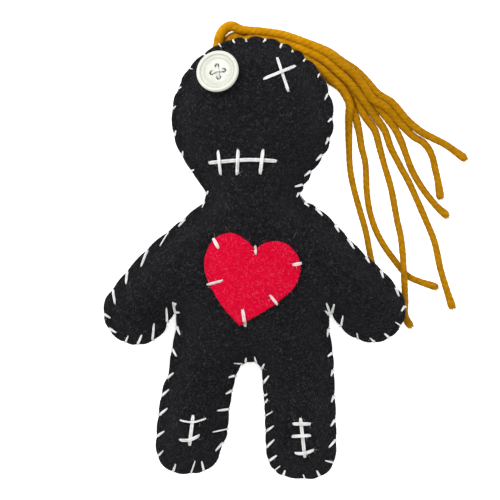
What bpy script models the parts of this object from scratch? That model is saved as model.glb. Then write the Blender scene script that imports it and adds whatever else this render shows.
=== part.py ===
"""A hand-sewn felt voodoo doll lying on its back, in metres with +Z up.

Two black felt panels are cut to one gingerbread outline and whip-stitched together round a filling.
The front carries a button eye, a crossed-thread eye, a stitched mouth, a red heart patch and a
stitched scar on each leg. Seven lengths of yarn are tucked behind the top of the head.
The head points along +Y, the face looks up, and the origin is where the back rests, under the chest.
Left and right are the viewer's, looking down on the face.
"""

import math

import bmesh
import bpy
import numpy as np
from mathutils import Matrix, Vector
from mathutils.bvhtree import BVHTree
from mathutils.geometry import delaunay_2d_cdt

MM = 0.001

# Felt panels and the seam between them
FELT = 1.0 * MM
SEAM_HEIGHT = 10.0 * MM
SEAM_GAP = 0.3 * MM
CLEARANCE = 0.3 * MM
LIP = 3.4 * MM
LIP_LINE = 3.1 * MM
PUFF_HEIGHT = 13.0 * MM
PUFF_REACH = 8.0 * MM
PUFF_POWER = 0.6
RIM = SEAM_GAP / 2 + FELT

# Outline: round stretches as circles, the rest as points in millimetres
HEAD_CENTRE = (0.0 * MM, 49.2 * MM)
HEAD_RADIUS = 28.2 * MM
LEFT_HAND = (-40.4 * MM, -18.4 * MM)
RIGHT_HAND = (41.8 * MM, -17.7 * MM)
HAND_RADIUS = 11.7 * MM
FOOT_RADIUS = 9.0 * MM
NECK_LINE = 22.0 * MM
HIP_LINE = -33.0 * MM
HEAD_SCALLOP = 1.0 * MM
BODY_SCALLOP = 0.3 * MM

# Whip stitch round the edge
PITCH = 6.9 * MM
STITCH_REACH = 2.2 * MM
STITCH_LEAN = 2.3 * MM
EDGE_THREAD = 0.9 * MM

# Face, heart and scars: places on the face are counted in steps from the middle of the head
FACE_STEPS = 282
HOLE_CLEARANCE = 0.25 * MM
MOST_STAND = 1.5
MOUTH_THREAD = 1.3 * MM
CROSS_THREAD = 1.1 * MM
SCAR_THREAD = 1.2 * MM
HEART_THREAD = 0.9 * MM
HEART_FELT = 1.2 * MM
BUTTON_THREAD = 0.9 * MM
BUTTON_PLACE = (-115, 152)
BUTTON_DIAMETER = 15.0 * MM
BUTTON_THICKNESS = 2.6 * MM
BUTTON_RIM = 1.5 * MM
BUTTON_DISH = 1.7 * MM
BUTTON_HOLE = 1.5 * MM
BUTTON_HOLE_CIRCLE = 2.2 * MM
BUTTON_TURN = 10.0
BUTTON_LEAN = 22.0

# Filling
FILLING_INSET = 5.5 * MM
FILLING_ROOM = 2.3 * MM
FILLING_REACH = 1.5 * MM
THINNEST_FILLING = 1.0 * MM

# Yarn
YARN = 2.0 * MM

# Mesh fineness
OUTLINE_STEP = 0.5 * MM
DOME_GRID = 6.0 * MM
DOME_MARGIN = 4.6 * MM
FILLING_GRID = 8.0 * MM
FILLING_STEP = 5.0 * MM
RING_MARGIN = 2.0 * MM
FAR = 1.0


def clear_scene():
    for obj in list(bpy.data.objects):
        bpy.data.objects.remove(obj, do_unlink=True)


def collection(name, hidden=False):
    made = bpy.data.collections.new(name)
    made.hide_render = hidden
    bpy.context.scene.collection.children.link(made)
    return made


def material(name, colour, roughness):
    made = bpy.data.materials.new(name)
    made.use_nodes = True
    shader = made.node_tree.nodes["Principled BSDF"]
    shader.inputs["Base Color"].default_value = (*colour, 1)
    shader.inputs["Roughness"].default_value = roughness
    shader.inputs["Metallic"].default_value = 0
    made.diffuse_color = (*colour, 1)
    return made


def arc(centre, radius, start, end, count):
    """Points along a circle, from one angle in degrees to another."""
    turns = np.radians(np.linspace(start, end, count))
    return [(centre[0] + radius * math.cos(turn), centre[1] + radius * math.sin(turn)) for turn in turns]


def millimetres(*points):
    return [tuple(value * MM for value in point) for point in points]


def on_head(*places):
    """Places on the face: its steps are even, and the last one ends at the edge of the head."""
    step = HEAD_RADIUS / FACE_STEPS
    return [(HEAD_CENTRE[0] + x * step, HEAD_CENTRE[1] + y * step) for x, y in places]


def span_points(before, start, end, after, samples=16):
    """The stretch from start to end of a centripetal Catmull-Rom curve."""
    corners = (before, start, end, after)
    knots = np.cumsum([0] + [np.linalg.norm(b - a) ** 0.5 for a, b in zip(corners, corners[1:])])
    at = np.linspace(knots[1], knots[2], samples, endpoint=False)[:, None]

    def blend(a, b, low, high):
        return (high - at) / (high - low) * a + (at - low) / (high - low) * b

    first = blend(before, start, knots[0], knots[1])
    second = blend(start, end, knots[1], knots[2])
    third = blend(end, after, knots[2], knots[3])
    early = blend(first, second, knots[0], knots[2])
    late = blend(second, third, knots[1], knots[3])
    return blend(early, late, knots[1], knots[2])


def smooth_curve(points, step, closed=False):
    """Points about a step apart on a smooth curve through the given ones."""
    points = np.array(points, float)
    if closed:
        knots = np.vstack([points[-1:], points, points[:2]])
    else:
        knots = np.vstack([2 * points[0] - points[1], points, 2 * points[-1] - points[-2]])
    spans = [span_points(*corners) for corners in zip(knots, knots[1:], knots[2:], knots[3:])]
    line = np.vstack([*spans, points[:1] if closed else points[-1:]])
    reach = np.concatenate([[0], np.cumsum(np.linalg.norm(np.diff(line, axis=0), axis=1))])
    count = max(2, round(reach[-1] / step))
    at = np.linspace(0, reach[-1], count + 1)[: count if closed else count + 1]
    return np.column_stack([np.interp(at, reach, line[:, axis]) for axis in range(line.shape[1])])


def doll_outline():
    """The doll's edge, clockwise from the left side of the neck."""
    head = arc(HEAD_CENTRE, HEAD_RADIUS, 218, -43, 14)
    right_arm = millimetres((16.7, 21.2), (21.5, 18.4), (26.4, 14.7), (32.8, 7.9), (39.7, 0.9), (45.6, -4.4))
    right_hand = arc(RIGHT_HAND, HAND_RADIUS, 47, -120, 6)
    right_side = millimetres((32.0, -25.2), (30.2, -22.6), (28.6, -21.4), (27.2, -22.4), (26.9, -25.6), (28.0, -32.3))
    right_leg = millimetres((28.7, -46.2), (29.1, -56.3))
    right_foot = arc((20.1 * MM, -68.0 * MM), FOOT_RADIUS, 0, -80, 4)
    right_foot += arc((14.0 * MM, -67.6 * MM), FOOT_RADIUS, -95, -175, 4)
    inside_right = millimetres((4.6, -61.3), (4.3, -51.8), (3.6, -43.4), (3.2, -38.8))
    crotch = millimetres((1.6, -36.6), (-1.0, -36.1), (-3.9, -37.3))
    inside_left = millimetres((-5.8, -41.1), (-7.5, -48.5), (-8.3, -54.1), (-9.0, -61.5))
    left_foot = arc((-20.2 * MM, -66.0 * MM), FOOT_RADIUS, -8, -88, 4)
    left_foot += arc((-24.7 * MM, -66.2 * MM), FOOT_RADIUS, -100, -180, 4)
    left_leg = millimetres((-32.8, -54.1), (-31.2, -45.0), (-29.2, -39.4), (-28.5, -33.1))
    left_side = millimetres((-27.0, -26.0), (-27.2, -22.8), (-28.6, -21.6))
    left_hand = arc(LEFT_HAND, HAND_RADIUS, -36, -229, 8)
    left_arm = millimetres((-42.9, -3.2), (-36.1, 4.0), (-22.6, 15.2), (-16.3, 21.6))
    right = right_arm + right_hand + right_side + right_leg + right_foot + inside_right
    return head + right + crotch + inside_left + left_foot + left_leg + left_side + left_hand + left_arm


class Seam:
    """The doll's smooth outline, and where the whip stitch crosses it and enters the felt."""

    def __init__(self):
        self.line = smooth_curve(doll_outline(), OUTLINE_STEP, closed=True)
        along = np.roll(self.line, -1, axis=0) - np.roll(self.line, 1, axis=0)
        along /= np.linalg.norm(along, axis=1)[:, None]
        self.outward = np.column_stack([-along[:, 1], along[:, 0]])
        self.length = np.linalg.norm(np.roll(self.line, -1, axis=0) - self.line, axis=1).sum()
        self.stitches = round(self.length / PITCH)

    def at(self, place, offset=0.0):
        """The point at a distance along the line, moved outward by the offset."""
        index = round(place / self.length * len(self.line)) % len(self.line)
        return self.line[index] + self.outward[index] * offset

    def direction(self, place):
        index = round(place / self.length * len(self.line)) % len(self.line)
        return self.outward[index]

    def crossings(self):
        return [number * self.length / self.stitches for number in range(self.stitches)]

    def entries(self):
        """Each stitch leans forward up the left side of the body and head, and back elsewhere."""
        places = self.crossings()
        spots = [self.at(place) for place in places]
        leans = np.array([STITCH_LEAN if x < 0 and y > HIP_LINE else -STITCH_LEAN for x, y in spots])
        leans = (np.roll(leans, 1) + 2 * leans + np.roll(leans, -1)) / 4
        return [place - lean for place, lean in zip(places, leans)]

    def lip(self):
        """Points between the needle holes on the inner side of the flat lip."""
        entries = self.entries()
        pairs = zip(entries, [*entries[1:], entries[0] + self.length])
        return np.array([self.at((first + second) / 2, -LIP_LINE) for first, second in pairs])

    def rim(self):
        """The cut edge: drawn in where the thread crosses it, and full halfway between."""
        points = []
        for number in range(2 * self.stitches):
            place = number * self.length / (2 * self.stitches)
            depth = HEAD_SCALLOP if self.at(place)[1] > NECK_LINE else BODY_SCALLOP
            points.append(self.at(place, depth / 2 if number % 2 else -depth / 2))
        return np.array(points)


def depth_inside(points, line):
    """How deep each point lies inside a closed line: true beside a long edge, less in a narrow part."""
    steps = np.linalg.norm(np.roll(line, -1, axis=0) - line, axis=1)
    gaps = np.linalg.norm(np.asarray(points)[:, None] - line[None], axis=2)
    return np.sqrt(2 / (steps / np.maximum(gaps, 0.01 * MM) ** 3).sum(axis=1))


def puff(points, line):
    """How far the filling pushes a panel out from the seam: not at all on the lip that is sewn down."""
    room = np.maximum(depth_inside(points, line) - LIP, 0)
    inset = np.linalg.norm(np.asarray(points)[:, None] - line[None], axis=2).min(axis=1)
    return np.where(inset < LIP, 0, PUFF_HEIGHT * (1 - np.exp(-room / PUFF_REACH)) ** PUFF_POWER)


def is_inside(points, line):
    """Which points lie inside a closed line, by counting the sides to their right."""
    start, end = line, np.roll(line, -1, axis=0)
    x, y = points[:, :1], points[:, 1:2]
    spans = (start[:, 1] > y) != (end[:, 1] > y)
    rise = np.where(end[:, 1] == start[:, 1], 1, end[:, 1] - start[:, 1])
    meets = start[:, 0] + (y - start[:, 1]) / rise * (end[:, 0] - start[:, 0])
    return (spans & (x < meets)).sum(axis=1) % 2 == 1


def ring(centre, facing, half):
    """A square needle hole, with two of its sides across the facing direction."""
    centre, ahead = np.array(centre), np.array(facing)
    aside = np.array([-ahead[1], ahead[0]])
    corners = ((1, 1), (-1, 1), (-1, -1), (1, -1))
    return [centre + half * (a * ahead + b * aside) for a, b in corners]


def inner_grid(line, spacing, margin, rings):
    """A grid of staggered points well inside a closed line and clear of its needle holes."""
    low, high = line.min(axis=0), line.max(axis=0)
    rows = np.arange(low[1], high[1], spacing * math.sqrt(3) / 2)
    points = []
    for number, y in enumerate(rows):
        shift = spacing / 2 if number % 2 else 0
        points += [(x, y) for x in np.arange(low[0] + shift, high[0], spacing)]
    points = np.array(points)
    points = points[is_inside(points, line)]
    points = points[depth_inside(points, line) > margin]
    for corners in rings:
        points = points[np.linalg.norm(points - np.mean(corners, axis=0), axis=1) > RING_MARGIN]
    return points


class Pattern:
    """A flat outline with needle holes, cut into triangles: faces is the felt and plugs are the holes."""

    def __init__(self, rim, rings, inner):
        coords = [tuple(point) for point in rim]
        loops = [range(len(coords))]
        for corners in rings:
            loops.append(range(len(coords), len(coords) + len(corners)))
            coords += [tuple(point) for point in corners]
        edges = [(a, b) for loop in loops for a, b in zip(loop, [*loop[1:], loop[0]])]
        owner = {index: number for number, loop in enumerate(loops[1:]) for index in loop}
        coords += [tuple(point) for point in inner]
        found = delaunay_2d_cdt([Vector(point) for point in coords], edges, [], 1, 1e-7, True)
        self.points = np.array([tuple(point) for point in found[0]])
        source = [ids[0] for ids in found[3]]
        ring_of = [owner.get(index, -1) for index in source]
        self.faces, self.plugs = [], []
        middles = np.array([self.points[list(face)].mean(axis=0) for face in found[2]])
        for face in np.array(found[2])[is_inside(middles, np.array(rim))].tolist():
            owners = {ring_of[index] for index in face}
            is_plug = len(owners) == 1 and -1 not in owners
            (self.plugs if is_plug else self.faces).append(tuple(face))


class Surface:
    """A felt surface that thread and patches lie on, with its needle holes filled."""

    def __init__(self, points, faces, thickness, under=None):
        self.thickness = thickness
        self.under = under
        self.top = BVHTree.FromPolygons([tuple(point) for point in points], faces)
        shell = bmesh.new()
        corners = [shell.verts.new(tuple(point)) for point in points]
        for face in faces:
            shell.faces.new([corners[index] for index in face])
        shell.normal_update()
        inner = [corner.co - corner.normal * thickness for corner in corners]
        self.bottom = BVHTree.FromPolygons([tuple(point) for point in inner], faces)
        shell.free()

    def meet(self, tree, x, y, down=True):
        """Where a vertical line first meets the tree from above, or from below, and the normal there."""
        start = Vector((x, y, FAR if down else -FAR))
        spot, normal, _, _ = tree.ray_cast(start, Vector((0, 0, -1 if down else 1)))
        return spot, normal

    def height(self, x, y, reach=0.0):
        """The highest point of this surface, or of the one it lies on, within reach."""
        around = ((0, 0), (reach, 0), (-reach, 0), (0, reach), (0, -reach))
        spots = [self.meet(self.top, x + dx, y + dy)[0] for dx, dy in around]
        found = [spot.z for spot in spots if spot]
        if self.under:
            found.append(self.under.height(x, y, reach))
        return max(found)

    def foot(self, x, y):
        """The lowest surface's point and normal at a place, where a needle goes through."""
        return self.under.foot(x, y) if self.under else self.meet(self.top, x, y)

    def ceiling(self, x, y):
        """The lowest surface's inner face, seen from inside the doll."""
        return self.under.ceiling(x, y) if self.under else self.meet(self.bottom, x, y, down=False)[0].z


def felt_object(name, points, faces, thickness, outward, look):
    """An open sheet of felt given its thickness, towards its outer side or away from it."""
    mesh = bpy.data.meshes.new(name)
    mesh.from_pydata([tuple(point) for point in points], [], faces)
    mesh.shade_smooth()
    obj = bpy.data.objects.new(name, mesh)
    obj.data.materials.append(look)
    solid = obj.modifiers.new("Thickness", "SOLIDIFY")
    solid.thickness = thickness
    solid.offset = 1 if outward else -1
    return obj


def panel_pattern(seam, rings):
    inner = inner_grid(seam.line, DOME_GRID, DOME_MARGIN, rings)
    return Pattern(seam.rim(), rings, np.vstack([seam.lip(), inner]))


def panel_points(pattern, seam, front):
    """The outer surface of a panel: flat along the seam, domed inside it, and flat where the back rests."""
    rise = puff(pattern.points, seam.line)
    heights = SEAM_HEIGHT + RIM + rise if front else np.maximum(0, SEAM_HEIGHT - RIM - rise)
    return np.column_stack([pattern.points, heights])


def edge_rings(seam):
    half = EDGE_THREAD / 2 + HOLE_CLEARANCE
    return [ring(seam.at(place, -STITCH_REACH), seam.direction(place), half) for place in seam.entries()]


def stitch_rings(stitches, thread):
    """A needle hole at each end of each stitch."""
    rings = []
    for stitch in stitches:
        along = np.subtract(stitch[-1], stitch[0])
        along = along / np.linalg.norm(along)
        rings += [ring(end, along, thread / 2 + HOLE_CLEARANCE) for end in (stitch[0], stitch[-1])]
    return rings


# Each stitch is a list of places, in the order in which the needle takes them
BUTTON_CENTRE = on_head(BUTTON_PLACE)[0]
MOUTH = (
    on_head((-155, -158), (-13, -148), (86, -152)),
    on_head((37, -110), (26, -200)),
    on_head((-54, -202), (-50, -110)),
    on_head((-121, -114), (-111, -202)),
)
CROSS_EYE = (
    on_head((85, 212), (126, 88)),
    on_head((36, 133), (152, 182)),
)
LEFT_SCAR = (
    millimetres((-20.7, -54.4), (-22.0, -65.5)),
    millimetres((-25.7, -63.4), (-18.3, -61.6)),
    millimetres((-16.2, -55.9), (-25.4, -56.5)),
)
RIGHT_SCAR = (
    millimetres((16.7, -55.4), (18.3, -69.7)),
    millimetres((14.6, -68.0), (21.6, -66.8)),
    millimetres((20.5, -61.7), (13.5, -62.1)),
    millimetres((13.8, -57.7), (20.5, -57.7)),
)
HEART_STITCHES = (
    millimetres((-13.8, 7.2), (-11.7, 3.3)),
    millimetres((1.1, 1.3), (0.9, 4.6)),
    millimetres((17.3, -1.6), (13.7, -2.3)),
    millimetres((6.0, -12.6), (8.8, -16.2)),
    millimetres((-2.5, -23.9), (-3.5, -17.5)),
    millimetres((-10.2, -7.6), (-16.0, -9.2)),
)


def heart_outline():
    """A left and a right curve that meet in the notch and at the tip."""
    notch, tip = (0.7, 2.8), (-4.7, -23.3)
    left = millimetres(notch, (-1.6, 5.8), (-7.3, 8.8), (-12.7, 6.9), (-16.4, 0.6), (-16.2, -5.6), (-11.1, -15.5), tip)
    right = millimetres(tip, (1.7, -19.6), (8.9, -15.0), (15.4, -8.4), (16.3, -0.8), (11.7, 5.0), (4.6, 5.5), notch)
    return np.vstack([smooth_curve(left, 3 * MM)[:-1], smooth_curve(right, 3 * MM)[:-1]])[::-1]


def button_frame(seam):
    """The button's axes: it leans the way the head slopes where it is sewn on."""
    x, y = BUTTON_CENTRE
    reach = BUTTON_DIAMETER / 4
    around = puff(np.array([(x + reach, y), (x - reach, y), (x, y + reach), (x, y - reach)]), seam.line)
    downhill = Vector((around[1] - around[0], around[3] - around[2], 0)).normalized()
    lean = Matrix.Rotation(math.radians(BUTTON_LEAN), 3, Vector((0, 0, 1)).cross(downhill))
    return lean @ Matrix.Rotation(math.radians(BUTTON_TURN), 3, "Z")


def button_holes():
    """The four holes in the button's own axes, in the order in which the needle takes them."""
    return [Vector(arc((0, 0), BUTTON_HOLE_CIRCLE, turn, turn, 1)[0]).to_3d() for turn in (90, 270, 0, 180)]


def button_stitches(axes):
    spots = [axes @ hole for hole in button_holes()]
    places = [(BUTTON_CENTRE[0] + spot.x, BUTTON_CENTRE[1] + spot.y) for spot in spots]
    return [places[:2], places[2:]]


def button_seat(axes, front):
    """Where the middle of the button's underside lies, just clear of the felt."""
    normal = axes @ Vector((0, 0, 1))
    start = Vector((*BUTTON_CENTRE, front.height(*BUTTON_CENTRE)))
    lift = 0.0
    for radius in (0.3, 0.6, 1.0):
        for x, y in arc((0, 0), radius * BUTTON_DIAMETER / 2, 0, 345, 24):
            spot = start + axes @ Vector((x, y, 0))
            felt = front.meet(front.top, spot.x, spot.y)[0]
            if felt:
                lift = max(lift, (felt - spot).dot(normal))
    return start + normal * (lift + CLEARANCE)


def placed(obj, group, parent):
    group.objects.link(obj)
    obj.parent = parent
    return obj


def evaluated_copy(obj, name):
    """A mesh object holding what the object's modifiers or bevel make of it."""
    bpy.context.view_layer.update()
    mesh = bpy.data.meshes.new_from_object(obj.evaluated_get(bpy.context.evaluated_depsgraph_get()))
    made = bpy.data.objects.new(name, mesh)
    made.matrix_world = obj.matrix_world
    return made


def button_object(axes, seat, look, helpers):
    """A turned four-hole button with a raised rim round a dished middle."""
    outer, top = BUTTON_DIAMETER / 2, BUTTON_THICKNESS
    inner = outer - BUTTON_RIM
    profile = (
        (0, BUTTON_DISH),
        (inner - 1.4 * MM, BUTTON_DISH),
        (inner - 0.4 * MM, BUTTON_DISH + 0.35 * (top - BUTTON_DISH)),
        (inner, top - 0.2 * MM),
        (inner + 0.4 * MM, top),
        (outer - 0.5 * MM, top),
        (outer, top - 0.6 * MM),
        (outer - 0.3 * MM, 0.8 * MM),
        (outer - 1.6 * MM, 0),
        (0, 0),
    )
    mesh = bpy.data.meshes.new("button_profile")
    mesh.from_pydata([(x, 0, z) for x, z in profile], [(n, n + 1) for n in range(len(profile) - 1)], [])
    turned = bpy.data.objects.new("button_turned", mesh)
    helpers.objects.link(turned)
    screw = turned.modifiers.new("Turn", "SCREW")
    screw.steps = screw.render_steps = 28
    screw.use_merge_vertices = True
    screw.merge_threshold = 0.01 * MM
    drills = bmesh.new()
    for hole in button_holes():
        place = Matrix.Translation(hole + Vector((0, 0, top / 2)))
        radius = BUTTON_HOLE / 2
        bmesh.ops.create_cone(
            drills, cap_ends=True, segments=10, radius1=radius, radius2=radius, depth=3 * top, matrix=place
        )
    drill_mesh = bpy.data.meshes.new("button_drills")
    drills.to_mesh(drill_mesh)
    drills.free()
    cutter = bpy.data.objects.new("button_drills", drill_mesh)
    cutter.display_type = "WIRE"
    cutter.hide_render = True
    helpers.objects.link(cutter)
    button = evaluated_copy(turned, "button_eye")
    bpy.data.objects.remove(turned, do_unlink=True)
    cut = button.modifiers.new("Holes", "BOOLEAN")
    cut.object = cutter
    button.data.materials.append(look)
    button.matrix_world = cutter.matrix_world = Matrix.Translation(seat) @ axes.to_4x4()
    button.data.shade_smooth()
    button.data.set_sharp_from_angle(angle=math.radians(40))
    return button


def tube(name, points, diameter, sides, look):
    """A round thread or yarn along a line of points, with closed ends."""
    curve = bpy.data.curves.new(name, "CURVE")
    curve.dimensions = "3D"
    curve.bevel_depth = diameter / 2
    curve.bevel_resolution = sides // 2 - 2
    curve.use_fill_caps = True
    spline = curve.splines.new("POLY")
    spline.points.add(len(points) - 1)
    for slot, point in zip(spline.points, points):
        slot.co = (*point, 1)
    curve.materials.append(look)
    return bpy.data.objects.new(name, curve)


def through_felt(surface, place, top, thread):
    """The thread's middle above and below a needle hole, square to the felt and close to it above."""
    spot, normal = surface.foot(*place)
    stand = thread / 2 + CLEARANCE
    lift = min(top, surface.height(*place) + MOST_STAND * stand * normal.z) - spot.z
    above = spot + normal * max(stand, lift / normal.z)
    below = spot - normal * (FELT + stand)
    return above, below


def thread_over(stitch, surface, thread, bumps):
    """The thread's middle from hole to hole over the felt, with a hump over each thread that it crosses."""
    stand = thread / 2 + CLEARANCE
    step = np.linalg.norm(np.subtract(stitch[-1], stitch[0])) / 6
    points = []
    for x, y in smooth_curve(stitch, step):
        height = surface.height(x, y, max(stand, step / 2)) + stand
        for spot, other in bumps:
            if math.hypot(x - spot[0], y - spot[1]) < thread / 2 + other:
                height += other + CLEARANCE
        points.append(Vector((x, y, height)))
    return points


def thread_under(start, end, surface, thread):
    """The thread's middle from hole to hole inside the doll, just under the felt."""
    drop = thread / 2 + CLEARANCE
    points = []
    for share in (1 / 3, 2 / 3):
        x, y = start.x + (end.x - start.x) * share, start.y + (end.y - start.y) * share
        around = ((0, 0), (drop, 0), (-drop, 0), (0, drop), (0, -drop))
        points.append(Vector((x, y, min(surface.ceiling(x + dx, y + dy) for dx, dy in around) - drop)))
    return points


def motif_line(stitches, surface, thread, crossed=()):
    """One thread through all the stitches of a motif, with its ends inside the doll."""
    points = []
    for number, stitch in enumerate(stitches):
        bumps = [bump for owner, *bump in crossed if owner == number]
        over = thread_over(stitch, surface, thread, bumps)
        first_above, first_below = through_felt(surface, stitch[0], over[0].z, thread)
        last_above, last_below = through_felt(surface, stitch[-1], over[-1].z, thread)
        if points:
            points += thread_under(points[-1], first_below, surface, thread)
        points += [first_below, first_above, *over[1:-1], last_above, last_below]
    return points


def meeting(first, second):
    """Where two straight stitches cross."""
    (ax, ay), (bx, by) = first[0], first[-1]
    (cx, cy), (dx, dy) = second[0], second[-1]
    base = (bx - ax) * (dy - cy) - (by - ay) * (dx - cx)
    share = ((cx - ax) * (dy - cy) - (cy - ay) * (dx - cx)) / base
    return (ax + share * (bx - ax), ay + share * (by - ay))


def crossings_over(stitches, lower, uppers, thread):
    """The humps of the upper stitches over the lower one."""
    return [(upper, meeting(stitches[upper], stitches[lower]), thread) for upper in uppers]


def edge_line(seam):
    """One thread round the whole edge: over the front, down past the rim and under the back to the next hole."""
    stand = EDGE_THREAD / 2 + CLEARANCE
    top, bottom = SEAM_HEIGHT + RIM + stand, SEAM_HEIGHT - RIM - stand
    entries = seam.entries()
    points = []
    for number, (entry, crossing) in enumerate(zip(entries, seam.crossings())):
        hole, edge = seam.at(entry, -STITCH_REACH), seam.at(crossing, stand)
        points += [Vector((*hole, top)), Vector((*edge, top)), Vector((*edge, bottom))]
        if number + 1 < len(entries):
            points.append(Vector((*seam.at(entries[number + 1], -STITCH_REACH), bottom)))
    return points


def button_line(stitches, axes, seat, front):
    """One thread up through each hole of the button and down the opposite one, crossing in the middle."""
    normal = axes @ Vector((0, 0, 1))
    stand = BUTTON_THREAD / 2 + CLEARANCE
    holes = [seat + axes @ hole for hole in button_holes()]
    lows = []
    for hole in holes:
        felt = front.ceiling(hole.x, hole.y)
        lows.append(hole - normal * ((hole.z - felt) / normal.z + stand))
    tops = [hole + normal * (BUTTON_DISH + stand) for hole in holes]
    hump = seat + normal * (BUTTON_DISH + stand + BUTTON_THREAD + CLEARANCE)
    first = [lows[0], tops[0], tops[1], lows[1]]
    second = [lows[2], tops[2], hump, tops[3], lows[3]]
    return first + second


def filling_object(seam, front, back, look):
    """The filling: a slab cut to a smaller outline, domed to lie inside the two panels."""
    inset = seam.line - seam.outward * FILLING_INSET
    clear = np.linalg.norm(inset[:, None] - seam.line[None], axis=2).min(axis=1) > FILLING_INSET - OUTLINE_STEP / 4
    rim = smooth_curve(inset[clear], FILLING_STEP, closed=True)
    margin = FILLING_INSET + FILLING_GRID / 3
    pattern = Pattern(rim, [], inner_grid(seam.line, FILLING_GRID, margin, []))
    shape = bmesh.new()
    corners = [shape.verts.new((x, y, 0)) for x, y in pattern.points]
    for face in pattern.faces:
        shape.faces.new([corners[index] for index in face])
    made = bmesh.ops.extrude_face_region(shape, geom=list(shape.faces))
    raised = [item for item in made["geom"] if isinstance(item, bmesh.types.BMVert)]
    for corner in raised:
        corner.co.z = front.ceiling(corner.co.x, corner.co.y) - FILLING_ROOM
    for corner in corners:
        x, y = corner.co.xy
        around = ((0, 0), (FILLING_REACH, 0), (-FILLING_REACH, 0), (0, FILLING_REACH), (0, -FILLING_REACH))
        floor = max(back.meet(back.bottom, x + dx, y + dy)[0].z for dx, dy in around)
        corner.co.z = min(floor + CLEARANCE, front.ceiling(x, y) - FILLING_ROOM - THINNEST_FILLING)
    bmesh.ops.recalc_face_normals(shape, faces=list(shape.faces))
    mesh = bpy.data.meshes.new("stuffing")
    shape.to_mesh(mesh)
    shape.free()
    mesh.shade_smooth()
    mesh.materials.append(look)
    return bpy.data.objects.new("stuffing", mesh)


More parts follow.
